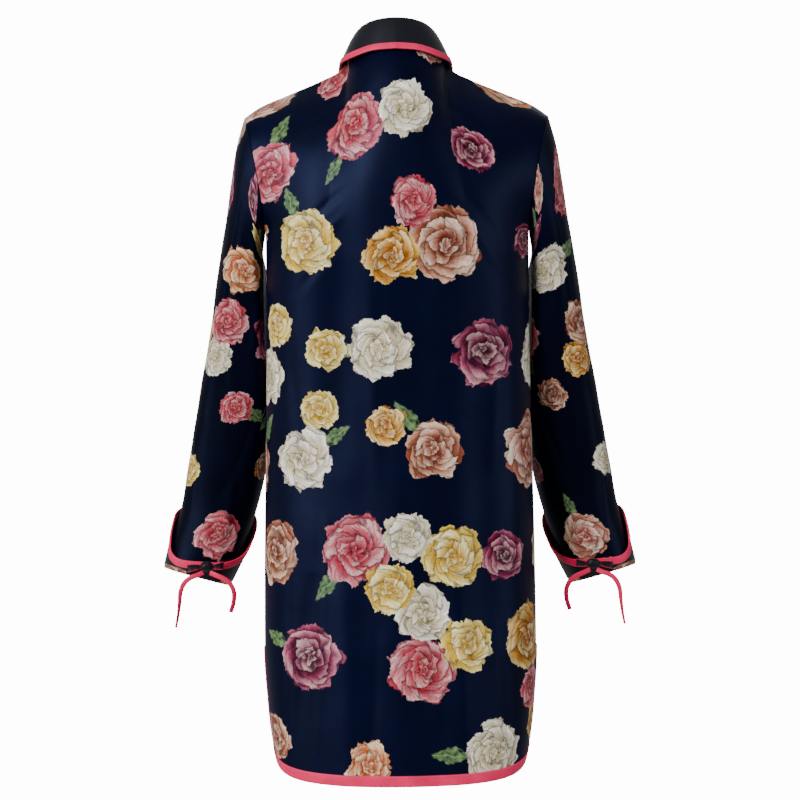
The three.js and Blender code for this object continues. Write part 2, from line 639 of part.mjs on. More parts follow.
// The collar's fall: from the fold down and out to its edge, open at the front in two points.
const FALL_TO = 2.98; // radians from the back to each front end
const FALL_STEPS = 26;
const FALL_TAPE = 0.83; // share of the fall's width at which the edge's binding starts
const FALL_CROWN = 1.2; // how far the fall swells out between its fold and its edge
const FALL_EDGE = [
  { turn: 0, side: 0, depth: 70, up: 23.5 },
  { turn: 0.4, side: 30.5, depth: 66.3, up: 21 },
  { turn: 0.8, side: 57, depth: 54, up: 12.5 },
  { turn: 1.2, side: 69.5, depth: 28.5, up: 8 },
  { turn: 1.571, side: 72, depth: 0, up: 5.4 },
  { turn: 1.9, side: 72.5, depth: -24, up: -3 },
  { turn: 2.3, side: 67, depth: -56, up: -31.5 },
  { turn: 2.7, side: 54, depth: -83, up: -70 },
  { turn: 2.98, side: 42, depth: -100, up: -98 },
];
function collarFall() {
  const grid = range(FALL_STEPS + 1).map((i) => {
    const turn = FALL_TO * ((2 * i) / FALL_STEPS - 1);
    const hand = Math.sign(turn) || 1;
    const read = (name) => column(FALL_EDGE, "turn", name, Math.abs(turn));
    const fold = ringPoint(FOLD, turn);
    const outward = unit([fold[0], fold[1], 0]);
    const start = add(fold, outward, WALL + SEAM);
    const edge = [hand * read("side"), read("depth"), read("up")];
    return [0, 0.12, 0.5, FALL_TAPE, 1].map((share) => {
      const crown = FALL_CROWN * Math.sin(Math.PI * share ** 0.7);
      return add(mix(start, edge, share), outward, crown);
    });
  });
  return clothFrom(grid, false, 1, (n, i, j) => (j === 0 ? [n[0], n[1], 0] : n));
}
function collarBinding(cloth) {
  const edge = cloth.outer[0].length - 1;
  const path = cloth.outer.map((_, i) => station(cloth, [i, edge], [i, edge - 1]));
  return binding("collar_binding", path.reverse(), PINK);
}

// A flat ribbon along a route, with a rounded section of six sides. across gives the direction of
// its width for a direction of travel, and narrow the share of the width at a share of the way.
const RIBBON_SECTION = [[0.5, 0], [0.32, 0.5], [-0.32, 0.5], [-0.5, 0], [-0.32, -0.5], [0.32, -0.5]];
function ribbon(name, route, { wide, thick, material, closed = false, across, narrow = () => 1 }) {
  const curve = new THREE.CatmullRomCurve3(route.map((p) => new THREE.Vector3(...p)), closed);
  const steps = closed ? route.length * 2 : (route.length - 1) * 2;
  const loops = range(closed ? steps : steps + 1).map((i) => {
    const p = curve.getPoint(i / steps).toArray();
    const along = curve.getTangent(i / steps).toArray();
    const widthWay = across(along);
    const up = unit(cross(widthWay, along));
    const reach = wide * narrow(i / steps);
    return RIBBON_SECTION.map(([a, b]) => add(add(p, widthWay, a * reach), up, b * thick));
  });
  return lofted(name, loops, material, closed, [[0, 1, 2], [0, 2, 3], [0, 3, 4], [0, 4, 5]]);
}

function knot(name) {
  const geometry = new THREE.SphereGeometry(1, 10, 7).scale(...KNOT.half);
  geometry.translate(...KNOT.at);
  const mesh = new THREE.Mesh(geometry, PINK);
  mesh.name = name;
  return mesh;
}
// One loop of the bow: out from the knot behind, round its end and back in front.
function bowLoop(name, { reach, rise, wide }) {
  const [x, y, z] = KNOT.at;
  const side = Math.sign(reach);
  const root = x + side * (KNOT.half[0] + 0.95);
  const end = x + reach;
  const middle = (root + end) / 2;
  const layer = 2.3;
  const route = [
    [root, y + 0.7, z], [middle, y + layer, z + rise / 2], [end - side * 2, y + layer, z + rise],
    [end, y, z + rise], [end - side * 2, y - layer, z + rise], [middle, y - layer, z + rise / 2],
    [root, y - 0.7, z],
  ];
  const narrow = (t) => 0.5 + 0.5 * Math.sin(Math.PI * t) ** 0.5;
  const across = () => [0, 0, 1];
  return ribbon(name, route, { wide, thick: 1.1, material: PLAIN, closed: true, across, narrow });
}
function bowTail(name, { route }) {
  const across = (along) => unit(cross(along, [0, 1, 0]));
  return ribbon(name, route, { wide: TAIL_WIDE, thick: TAIL_THICK, material: PINK, across });
}

function mirroredMesh(mesh, name) {
  const geometry = mesh.geometry.clone().scale(-1, 1, 1);
  const index = geometry.getIndex();
  for (let i = 0; i < index.count; i += 3) {
    const second = index.getX(i + 1);
    index.setX(i + 1, index.getX(i + 2));
    index.setX(i + 2, second);
  }
  geometry.computeVertexNormals();
  const copy = new THREE.Mesh(geometry, mesh.material);
  copy.name = name;
  return copy;
}

function button(name, place, facing) {
  const { radius, thick, rim, sides } = BUTTON;
  const profile = [
    [0, 0], [radius - rim, 0], [radius, rim],
    [radius, thick - rim], [radius - rim, thick], [0, thick],
  ];
  const geometry = new THREE.LatheGeometry(profile.map(([r, h]) => new THREE.Vector2(r, h)), sides);
  const mesh = new THREE.Mesh(geometry, SHELL);
  mesh.quaternion.setFromUnitVectors(new THREE.Vector3(0, 1, 0), new THREE.Vector3(...facing));
  mesh.position.set(...add(place, facing, SEAM + 0.3));
  mesh.name = name;
  return mesh;
}
function frontButtons(cloth) {
  const centre = 1; // the grid column on the centre line
  const ups = cloth.outer[centre].map((p) => p[2]);
  return BUTTON_HEIGHTS.map((up, k) => {
    const read = (i) => through(ups, cloth.outer[centre].map((p) => p[i]), up);
    const slope = through(ups, cloth.normals[centre].map((n) => n[2]), up);
    return button(`button_${k + 1}`, [0, read(1), up], unit([0, -1, slope]));
  });
}
function collarButton() {
  const across = sub(standPoint(-Math.PI - 0.05, 0.5), standPoint(-Math.PI + 0.05, 0.5));
  const facing = unit(cross(across, sub(standPoint(-Math.PI, 0.7), standPoint(-Math.PI, 0.3))));
  const outward = facing[1] < 0 ? facing : add([0, 0, 0], facing, -1);
  return button("button_collar", standPoint(-Math.PI, 0.5), outward);
}

const shirt = new THREE.Group();
const back = backPanel();
const fronts = { left: frontPanel(1), right: frontPanel(-1) };
shirt.add(wall("back", back, SILK));
shirt.add(wall("front_left", fronts.left, SILK));
shirt.add(wall("front_right", fronts.right, SILK));
shirt.add(hemBinding("hem_binding_back", back, { first: true, last: true }));
shirt.add(hemBinding("hem_binding_front_left", fronts.left, { first: false, last: true }));
shirt.add(hemBinding("hem_binding_front_right", fronts.right, { first: false, last: true }));

const stand = collarStand();
const fall = collarFall();
shirt.add(wall("collar_stand", stand, PLAIN));
shirt.add(wall("collar_fall", fall, PLAIN));
shirt.add(collarBinding(fall));
shirt.add(collarButton());
frontButtons(fronts.right).forEach((mesh) => shirt.add(mesh));

// The sleeve, its cuff and its bow are made for the left arm and mirrored for the right one.
const leftCuff = cuff();
const leftArm = [
  wall("sleeve_left", sleeve(), SILK),
  wall("cuff_left", leftCuff, PLAIN),
  cuffBinding("cuff_binding_left", leftCuff),
  knot("tie_knot_left"),
  ...LOOPS.map((loop) => bowLoop(`tie_loop_${loop.name}_left`, loop)),
  ...TAILS.map((tail) => bowTail(`tie_tail_${tail.name}_left`, tail)),
];
leftArm.forEach((mesh) => {
  shirt.add(mesh);
  shirt.add(mirroredMesh(mesh, mesh.name.replace("_left", "_right")));
});

export default shirt;
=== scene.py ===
"""Silk tunic shirt, empty, in the form it has when worn.

The shapes are functions of two parameters, worked out in millimetres on whole grids and written
to meshes in metres. +Z is up, the back faces +Y, the wearer's left is +X.
"""

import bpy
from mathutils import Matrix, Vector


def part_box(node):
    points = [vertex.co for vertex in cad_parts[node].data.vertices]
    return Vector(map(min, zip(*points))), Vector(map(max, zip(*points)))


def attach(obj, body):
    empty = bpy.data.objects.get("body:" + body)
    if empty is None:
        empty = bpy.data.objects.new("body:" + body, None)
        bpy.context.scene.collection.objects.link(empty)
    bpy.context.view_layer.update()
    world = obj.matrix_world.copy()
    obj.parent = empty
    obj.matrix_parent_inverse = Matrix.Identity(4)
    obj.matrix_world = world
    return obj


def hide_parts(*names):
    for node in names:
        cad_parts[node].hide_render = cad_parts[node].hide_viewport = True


bl_info = {
    "name": "Silk tunic shirt",
    "version": (1, 0, 0),
    "blender": (4, 5, 0),
    "location": "View3D > Sidebar > Shirt",
    "description": "Builds a printed silk tunic shirt with bound edges, turned-back cuffs and bows",
    "category": "Object",
}

import bmesh
import bpy
import numpy as np
from mathutils import Matrix

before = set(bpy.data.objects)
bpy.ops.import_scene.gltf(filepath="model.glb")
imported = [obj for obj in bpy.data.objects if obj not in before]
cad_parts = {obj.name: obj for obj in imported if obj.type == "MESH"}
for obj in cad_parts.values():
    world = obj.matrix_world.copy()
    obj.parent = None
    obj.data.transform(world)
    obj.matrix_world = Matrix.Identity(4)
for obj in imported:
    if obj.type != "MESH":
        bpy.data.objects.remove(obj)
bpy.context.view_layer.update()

# Driving sizes in millimetres
SEAM = 0.3  # between two pieces that are sewn together
CENTRE_OVERLAP = 12  # each front runs this far past the centre
UNDER_STEP = 2.6  # the under front lies this far inside the upper one
HEM_STEP = 2.9  # and this much further in at the hem
SLEEVE_CLEAR = 3.2  # between a hanging sleeve and the body
SQUARE = 0.8  # exponent of the body's rounded section
SLEEVE_SQUARE = 0.86
NECK_SHARE = 0.36  # share of a panel's width, centre to side, that ends at the neck
VENT_ROW = 3  # row of BODY at which the side vent ends
VENT_TAPE = 0.047  # share of a panel's width that the vent's binding covers
CUFF_FROM = 7  # row of SLEEVE from which the cuff covers it
NECK = {"side": 62, "back": 56, "front": 64, "side_up": 9, "back_up": 34, "front_up": -42}
FOLD = {"side": 53, "back": 47, "front": 58, "side_up": 34, "back_up": 64, "front_up": -14}
ARMHOLE = {"top": (194, 0, -60), "bottom": (168, 0, -213), "half_depth": 56, "hollow": 4}


def columns(names, rows):
    """A short table as a dict of one array for each named column."""
    return dict(zip(names.split(), np.array(rows, float).T))


# The body below the armholes, hem first. off is how far the edge stands off the side seam.
BODY = columns("centre side half back front off", [
    (-908, -862, 161, 113, 112, 6.5),
    (-894, -848, 163.5, 113, 112, 6),
    (-815, -793, 170, 112, 112, 4),
    (-736, -736, 173.5, 111, 111, 1.8),
    (-700, -700, 173.5, 110, 110, SEAM / 2),
    (-600, -600, 172.5, 106, 107, SEAM / 2),
    (-470, -470, 170, 100, 107, SEAM / 2),
    (-345, -335, 168, 103, 114, SEAM / 2),
    (-238, -213, 168, 110.5, 119, SEAM / 2),
])
ARM_LEVEL = len(BODY["centre"]) - 1
# The centre lines above that level, and the shoulder seam
BACK_CENTRE = columns("up depth", [
    (-238, 110.5), (-180, 112.5), (-130, 112), (-75, 104), (-30, 90), (0, 77), (20, 65), (34, 56),
])
FRONT_CENTRE = columns("up depth", [
    (-238, 119), (-195, 118.5), (-150, 115), (-110, 103), (-75, 86), (-42, 64),
])
SHOULDER = columns("out up", [(62, 9), (72, -1), (94, -12.5), (140, -32), (180, -50), (194, -60)])

# Drapes: distance out from the centre and height at each end, half width, height of the ridge
BACK_FOLDS = columns("out_top top out_end end wide high", [
    (118, -90, 126, -690, 26, 4),
    (66, -70, 74, -520, 24, -4),
    (110, -640, 132, -900, 13, -5),
    (-42, -560, -50, -960, 20, -5),
    (-146, -330, -150, -760, 14, 2.5),
    (-98, -260, -108, -860, 20, -3.5),
    (6, -420, -4, -960, 28, 3),
    (-34, -100, -24, -440, 26, -3),
    (74, -600, 66, -980, 18, 3.5),
])
FRONT_FOLDS = columns("out_top top out_end end wide high", [
    (74, -190, 96, -760, 20, 4),
    (112, -240, 124, -700, 15, -3.5),
    (52, -330, 58, -940, 18, -4.5),
    (-78, -200, -90, -820, 22, 4),
    (-118, -280, -122, -800, 14, -3),
    (-54, -420, -60, -960, 18, -4),
])
# Finer creases of the silk, in the same columns
BACK_CREASES = columns("out_top top out_end end wide high", [
    (60, -150, 132, -214, 7, -1.4),
    (64, -184, 138, -262, 6, 1.2),
    (84, -236, 140, -300, 7, -1.2),
    (-70, -140, -136, -232, 8, -1.3),
    (-86, -190, -142, -276, 7, 1.1),
    (138, -330, 118, -560, 7, -1.4),
    (-132, -300, -118, -520, 8, 1.3),
    (36, -240, 28, -560, 9, 1.2),
    (-8, -520, -22, -900, 8, -1.3),
    (92, -560, 108, -880, 6, 1.5),
    (138, -640, 146, -860, 5, -1.3),
    (-70, -620, -84, -900, 8, 1.4),
    (-128, -680, -136, -880, 6, -1.2),
    (28, -700, 40, -930, 7, -1.2),
    (30, -20, 120, -86, 9, 1.2),
    (-30, -24, -124, -92, 9, -1.2),
])
FRONT_CREASES = columns("out_top top out_end end wide high", [
    (60, -130, 120, -230, 8, -1.3),
    (70, -180, 132, -290, 7, 1.2),
    (96, -330, 84, -600, 8, -1.3),
    (134, -400, 128, -640, 7, 1.2),
    (40, -520, 46, -860, 8, 1.3),
    (118, -640, 126, -880, 7, -1.3),
    (74, -700, 80, -900, 7, 1.2),
    (-60, -150, -126, -260, 8, 1.3),
    (-100, -420, -92, -700, 8, -1.3),
    (-36, -560, -42, -860, 7, 1.2),
    (-132, -620, -138, -860, 6, -1.2),
])

# The left sleeve, armhole first: outer and inner point of each ring, and its half depth
SLEEVE = columns("outer_out outer_forward outer_up inner_out inner_forward inner_up deep", [
    (194.4, 0, -60, 168.4, 0, -213, 56),
    (206, 4, -104, 171, 8, -223, 55),
    (217, 12, -176, 172, 18, -236, 54),
    (230, 27, -252, 168, 34, -262, 53),
    (242.5, 46, -335, 164, 49, -338, 49),
    (256.5, 62, -410, 161, 64, -410, 45),
    (271.5, 76, -495, 170, 78, -495, 42),
    (281.5, 84, -552, 182, 86, -552, 40.5),
    (295, 88, -602, 201, 90, -610, 41),
    (305, 90, -637, 222, 92, -661, 41),
])
SLEEVE_END = len(SLEEVE["deep"]) - 1
# Creases down the sleeve: turn in degrees from the outer side over the back, heights,
# half width in degrees, height of the ridge
SLEEVE_FOLDS = columns("turn_top top turn_end end wide high", [
    (112, -110, 128, -440, 16, 4),
    (62, -180, 72, -520, 16, -3),
    (262, -160, 244, -540, 18, 3.5),
    (306, -220, 300, -500, 16, -3),
    (84, -130, 60, -330, 7, -1.5),
    (140, -250, 96, -400, 6, 1.4),
    (36, -300, 92, -440, 6, -1.4),
    (128, -420, 84, -560, 6, -1.5),
    (20, -440, 60, -600, 6, 1.3),
    (98, -500, 110, -640, 6, 1.3),
    (214, -260, 250, -420, 7, -1.4),
    (300, -380, 262, -560, 7, 1.4),
])
# The cuff's upper edge: turn, height. It is notched low at the back of the wrist.
CUFF_EDGE = columns("turn up", [
    (0, -568), (14, -589), (28, -609), (45, -620), (90, -629), (135, -628), (155, -621),
    (170, -610), (185, -592), (215, -570), (270, -560), (330, -560), (360, -568),
])
CUFF_FLARE = {"outer": 1, "inner": 3, "flat": 2.6}
CUFF_ROUND = 370  # length round the cuff, after which its print repeats
CUFF_TAPE = 9  # width of the binding on its upper edge
CUFF_TURN = 6  # height of the printed cloth turned up round the cuff's lower edge
CUFF_OFF = 2.1  # how far its lower edge stands off the sleeve

STAND_PAST = 0.2  # radians that each end of the collar stand runs past the centre front
FALL_TO = 2.98  # radians from the back to each front end of the fall
FALL_TAPE = 0.83  # share of the fall's depth at which its binding begins
FALL_CROWN = 1.2  # how far the fall's middle swells out between fold and edge
FALL_EDGE = columns("turn side depth up", [
    (0, 0, 70, 23.5), (0.4, 30.5, 66.3, 21), (0.8, 57, 54, 12.5), (1.2, 69.5, 28.5, 8),
    (1.571, 72, 0, 5.4), (1.9, 72.5, -24, -3), (2.3, 67, -56, -31.5), (2.7, 54, -83, -70),
    (2.98, 42, -100, -98),
])

# The bow at the back of the left wrist
KNOT = {"at": (249, -38.6, -635), "half": (8.5, 5.5, 7)}
LOOPS = columns("reach wide lean", [(25, 10, -1.6), (-22, 10, 1.0)])
LOOP_THICK = 0.6
TAIL_WIDE = 6.4
TAIL_THICK = 0.7
TAIL_TURN = {"outer": 1.1, "inner": 0.5}  # radians by which each tail has turned at its free end
TAILS = {
    "outer": [(253.6, -36.9, -642.6), (261, -33.5, -645.8), (269.5, -32, -649), (277, -31.8, -655),
              (282, -32.5, -665), (284, -34, -681), (286, -35.5, -697), (289, -37, -713)],
    "inner": [(244.8, -36.9, -642.8), (236, -33.7, -646.5), (227, -33, -650.5), (218.5, -33.5, -657.5),
              (214, -35, -668), (214.5, -36.5, -681), (218.5, -38, -694)],
}
BUTTON_RADIUS = 5.5
BUTTON_THICK = 2.2

# The print: tones as ring petal, heart and share of stripes; forms as the blooms of one cluster,
# each with its place and radius as shares of the cluster's size
TONES = {
    "cream": ("#ece8de", "#cfc4a4", 0.0),
    "blush": ("#dcbda8", "#b5705f", 0.0),
    "gold": ("#e3bd58", "#b9852f", 0.0),
    "lemon": ("#ece08a", "#cfae4c", 0.0),
    "apricot": ("#e8bb8c", "#c17a4c", 0.0),
    "striped": ("#e3a3ad", "#a8323f", 0.75),
    "magenta": ("#b3386b", "#64102f", 0.15),
    "peach": ("#d3a283", "#9a5d45", 0.0),
}
FORMS = {
    "single": [(0, 0, 0.92)],
    "pair": [(-0.48, 0.1, 0.84), (0.72, -0.3, 0.6)],
    "trio": [(0.1, 0.56, 0.92), (-0.66, -0.44, 0.7), (0.6, -0.52, 0.66)],
    "small": [(0, 0, 0.62)],
}
LAYERS = 3
# The flat field that the print covers on each piece, as its least and greatest place
BACK_FIELD = ((-282, -30), (282, 990))
FRONT_FIELD = ((-135, -20), (150, 940))
SLEEVE_LONG = 600
CUFF_FIELD = ((0, -30), (CUFF_ROUND, 110))
SLEEVE_PRINT = 0.72  # size of the print there, as a share of its size on the back
CUFF_PRINT = 0.6


def through(knots, values, at):
    """A smooth curve through values at rising knots, read at places.

    Between two knots it is a cubic whose end slopes are the mean of the steps on both sides, each
    weighted by the other's length; past the ends it stays at the end value.
    """
    knots = np.asarray(knots, float)
    values = np.asarray(values, float)
    at = np.asarray(at, float)
    shape = np.broadcast_shapes(values.shape[1:], at.shape)
    missing = len(shape) - values.ndim + 1
    values = values.reshape(values.shape[:1] + (1,) * missing + values.shape[1:])
    values = np.broadcast_to(values, (len(knots),) + shape)
    at = np.broadcast_to(np.clip(at, knots[0], knots[-1]), shape)
    gap = np.diff(knots)
    wide = gap.reshape((-1,) + (1,) * len(shape))
    step = np.diff(values, axis=0) / wide
    middle = (step[:-1] * wide[1:] + step[1:] * wide[:-1]) / (wide[1:] + wide[:-1])
    slope = np.concatenate([step[:1], middle, step[-1:]])
    k = np.clip(np.searchsorted(knots, at, side="right") - 1, 0, len(gap) - 1)
    span = gap[k]
    t = (at - knots[k]) / span

    def pick(table, shift):
        return np.take_along_axis(table, (k + shift)[None], axis=0)[0]

    start = (1 + 2 * t) * (1 - t) ** 2 * pick(values, 0) + t * (1 - t) ** 2 * span * pick(slope, 0)
    end = t * t * (3 - 2 * t) * pick(values, 1) + t * t * (t - 1) * span * pick(slope, 1)
    return start + end


def smooth(t):
    """0 below 0, 1 above 1, and 3t^2 - 2t^3 between."""
    s = np.clip(t, 0, 1)
    return s * s * (3 - 2 * s)


def power(value, exponent):
    """The value's size raised to the exponent, with its sign kept."""
    return np.sign(value) * np.abs(value) ** exponent


def unit(v):
    """Vectors of length 1 in the same directions."""
    return v / np.maximum(np.linalg.norm(v, axis=-1, keepdims=True), 1e-9)


def stack(x, y, z):
    """Three arrays as one array of points."""
    return np.stack(np.broadcast_arrays(x, y, z), axis=-1).astype(float)


def grid_of(first, second):
    """Two lists of parameters as two grids."""
    return np.meshgrid(first, second, indexing="ij")


def normals_of(points, wrap=False):
    """Unit normals of a grid: the cross product of its two central differences."""
    if wrap:
        along = np.roll(points, -1, axis=0) - np.roll(points, 1, axis=0)
    else:
        along = np.gradient(points, axis=0)
    return unit(np.cross(along, np.gradient(points, axis=1)))


def softened(values, steps, wrap=False):
    """Values averaged along the first axis with their neighbours, several times over."""
    for _ in range(steps):
        before = np.roll(values, 1, axis=0)
        after = np.roll(values, -1, axis=0)
        if not wrap:
            before[0] = values[0]
            after[-1] = values[-1]
        values = (before + 2 * values + after) / 4
    return values


def ring_point(ring, turn):
    """A point round the neck: an ellipse with its own depth at front and back; the height falls
    with the cosine of the turn, from the back at 0 to the front at pi, and dips at the sides."""
    c = np.cos(turn)
    tilt = (ring["back_up"] - ring["front_up"]) / 2
    dip = (ring["back_up"] + ring["front_up"]) / 2 - ring["side_up"]
    depth = np.where(c > 0, ring["back"], ring["front"])
    return stack(ring["side"] * np.sin(turn), depth * c, ring["side_up"] + tilt * c + dip * c * c)


def armhole(turn, face):
    """The armhole seam: a slanted oval from its top at turn 0 to under the arm at half a turn."""
    top = np.array(ARMHOLE["top"], float)
    bottom = np.array(ARMHOLE["bottom"], float)
    middle = (top + bottom) / 2
    place = middle + (top - middle) * np.cos(turn)[..., None]
    side = np.abs(np.sin(turn)) ** 0.92
    shift = stack(-ARMHOLE["hollow"] * side * side, face * ARMHOLE["half_depth"] * side, 0 * side)
    return place + shift


def lower_part(face, share, level):
    """The body below the armholes: rounded sections, x = half sin^e and y = depth cos^e of the
    share's quarter turn, joined up the body by the smooth curve."""
    rows = {name: values[:, None, None] for name, values in BODY.items()}
    quarter = share[None] * np.pi / 2
    depth = rows["back"] if face > 0 else rows["front"]
    x = rows["half"] * np.sin(quarter) ** SQUARE
    y = face * (rows["off"] + (depth - rows["off"]) * np.maximum(0, np.cos(quarter)) ** SQUARE)
    z = rows["centre"] + (rows["side"] - rows["centre"]) * (0.5 * share**2 + 0.5 * share**6)[None]
    at = np.interp(level, np.arange(ARM_LEVEL + 1), BODY["centre"])[..., None]
    return through(BODY["centre"], stack(x, y, z), at)


def section_arc(face, share, rise):
    """A level above the armhole's bottom: the rounded section, cut off at the armhole."""
    centre = BACK_CENTRE if face > 0 else FRONT_CENTRE
    up = centre["up"][0] + (centre["up"][-1] - centre["up"][0]) * rise
    depth = through(centre["up"], centre["depth"], up)
    edge = armhole(np.pi * (1 - rise), face)
    whole = np.arccos(np.clip(np.abs(edge[..., 1]) / depth, 0, 1) ** (1 / SQUARE))
    reach = edge[..., 0] / np.sin(whole) ** SQUARE
    x = reach * np.sin(whole * share) ** SQUARE
    y = face * depth * np.maximum(0, np.cos(whole * share)) ** SQUARE
    return stack(x, y, up + (edge[..., 2] - up) * (0.5 * share**2 + 0.5 * share**6))


def top_edge(face, share):
    """The panel's top: a quarter of the neck, then the shoulder seam out to the armhole."""
    quarter = np.clip(share / NECK_SHARE, 0, 1) * np.pi / 2
    neck = ring_point(NECK, quarter if face > 0 else np.pi - quarter)
    t = np.clip((share - NECK_SHARE) / (1 - NECK_SHARE), 0, 1)
    out = NECK["side"] + (ARMHOLE["top"][0] - NECK["side"]) * t
    shoulder = stack(out, 0 * out, through(SHOULDER["out"], SHOULDER["up"], out))
    return np.where((share < NECK_SHARE)[..., None], neck, shoulder)


def panel_point(face, share, level):
    """A panel's plain surface. Above the armhole's bottom each section gives way to the top edge
    by its rise to the power 1.8."""
    low = lower_part(face, share, np.minimum(level, ARM_LEVEL))
    rise = np.clip(level - ARM_LEVEL, 0, 1)
    to_top = top_edge(face, share) - section_arc(face, share, np.ones_like(rise))
    high = section_arc(face, share, rise) + to_top * (rise**1.8)[..., None]
    return np.where((level > ARM_LEVEL)[..., None], high, low)


def fold_height(folds, out, up):
    """The sum over the folds of height * sin(pi t)^0.7 * exp(-(distance / half width)^2), where t
    runs from the fold's top to its end."""
    row = {name: values[:, None, None] for name, values in folds.items()}
    t = (up[None] - row["top"]) / (row["end"] - row["top"])
    line = row["out_top"] + (row["out_end"] - row["out_top"]) * t
    ridge = np.exp(-(((out[None] - line) / row["wide"]) ** 2))
    live = np.sin(np.pi * np.clip(t, 0, 1)) ** 0.7
    return (row["high"] * live * ridge).sum(axis=0)


def share_at(face, level, out):
    """The share at which a panel reaches a distance out from the centre, by halving."""
    low = np.zeros_like(level)
    high = np.full_like(level, 0.5)
    for _ in range(24):
        share = (low + high) / 2
        nearer = panel_point(face, share[None], level[None])[0, :, 0] < out
        low = np.where(nearer, share, low)
        high = np.where(nearer, high, share)
    return (low + high) / 2


def panel_surface(face, share, level, side, folds, creases):
    """A panel with its drapes and creases, which fade out at the side, the top and the placket,
    and a shallow pucker beside the side seam."""
    place = panel_point(face, np.abs(share), level)
    out = place[..., 0] * side * np.where(share < 0, -1, 1)
    up = place[..., 2]
    size = np.abs(share)
    edge_fade = 1 - smooth((size - 0.78) / 0.2)
    top_fade = 1 - smooth((level - ARM_LEVEL - 0.3) / 0.6)
    centre_fade = 1.0 if face > 0 else smooth((np.abs(out) - 20) / 25)
    lift = fold_height(folds, out, up) * edge_fade * top_fade * centre_fade
    fine_fade = (1 - smooth((size - 0.9) / 0.1)) * (1 - smooth((level - ARM_LEVEL - 0.8) / 0.2))
    lift += fold_height(creases, out, up) * fine_fade * centre_fade
    lift += 0.35 * np.sin(up / 17 + out / 23) * np.sin(out / 31 - up / 57) * fine_fade * centre_fade
    pucker = np.exp(-(((1 - size) * 175 / 5) ** 2)) * (level > VENT_ROW) * (level < ARM_LEVEL)
    lift -= pucker * (0.35 + 0.25 * np.sin(up / 2.6))
    grid = stack(out, place[..., 1] + face * lift, up)
    seam = face * grid[..., 1] < SEAM / 2
    grid[..., 1] = np.where(seam, face * SEAM / 2, grid[..., 1])
    at_armhole = (np.abs(size - 1) < 1e-6) & (level > ARM_LEVEL) & (level < ARM_LEVEL + 1)
    grid[..., 0] -= np.sign(grid[..., 0]) * (SEAM / 2) * at_armhole
    return grid


# Grid lines: up the body and the yoke, across a back and a front, round and along a sleeve
BODY_STEPS = 150
YOKE_STEPS = 56
BACK_STEPS = 171
FRONT_STEPS = 96
ROUND = np.arange(0, 360, 3.0)
SLEEVE_STEPS = 190
BAND = np.linspace(0, 1, 9)  # places across a bound edge


def panel_levels():
    """Levels of a panel's grid, spaced by height, with a line on the first row and the vent's end."""
    heights = np.linspace(BODY["centre"][0], BODY["centre"][-1], BODY_STEPS)
    levels = np.interp(heights, BODY["centre"], np.arange(ARM_LEVEL + 1))
    upper = ARM_LEVEL + np.linspace(0, 1, YOKE_STEPS)[1:]
    return np.unique(np.concatenate([levels, [1.0, VENT_ROW], upper]))


def back_surface():
    """The back panel as a grid of points, from the right side to the left."""
    share, level = grid_of(np.linspace(-1, 1, BACK_STEPS), panel_levels())
    grid = panel_surface(1, share, level, 1, BACK_FOLDS, BACK_CREASES)
    return {"points": grid, "normals": -normals_of(grid), "share": share, "level": level}


def front_surface(side):
    """One front, from its overlap past the centre to the side; the left one lies further in."""
    levels = panel_levels()
    past = share_at(-1, levels, CENTRE_OVERLAP)
    t = np.linspace(0, 1, FRONT_STEPS)[:, None]
    share = -past[None] + (1 + past[None]) * t
    level = np.broadcast_to(levels, share.shape)
    grid = panel_surface(-1, share, level, side, FRONT_FOLDS, FRONT_CREASES)
    normals = side * normals_of(grid)
    if side > 0:
        step = UNDER_STEP + HEM_STEP * (1 - smooth(level / 2.5))
        near = 1 - smooth((np.abs(grid[..., 0]) - CENTRE_OVERLAP - 3) / 22)
        grid = grid - normals * (step * near)[..., None]
        normals = side * normals_of(grid)
    return {"points": grid, "normals": normals, "share": share, "level": level}


def sleeve_rings(turn):
    """The sleeve's rings at each turn in degrees: 0 is its outer side, 90 its back."""
    row = {name: values[(...,) + (None,) * turn.ndim] for name, values in SLEEVE.items()}
    outer = stack(row["outer_out"], -row["outer_forward"], row["outer_up"])
    inner = stack(row["inner_out"], -row["inner_forward"], row["inner_up"])
    middle = (outer + inner) / 2
    c = power(np.cos(np.radians(turn)), SLEEVE_SQUARE)[None, ..., None]
    s = power(np.sin(np.radians(turn)), SLEEVE_SQUARE)
    rings = middle + (outer - middle) * c + stack(0, row["deep"] * s[None], 0)
    seam = armhole(np.radians(np.minimum(turn, 360 - turn)), np.where(turn > 180, -1, 1))
    rings[0] = seam + stack(SEAM + 0.5 - 0.3 * np.cos(np.radians(turn)), 0, 0)
    return rings, np.broadcast_to(middle, rings.shape)


def body_out(y, up):
    """How far out the body's side reaches at a depth and a height."""
    half = through(BODY["centre"], BODY["half"], up)
    back = through(BODY["centre"], BODY["back"], up)
    front = through(BODY["centre"], BODY["front"], up)
    share = np.minimum(1, np.abs(y) / np.where(y > 0, back, front))
    return half * (1 - share ** (2 / SQUARE)) ** (SQUARE / 2)


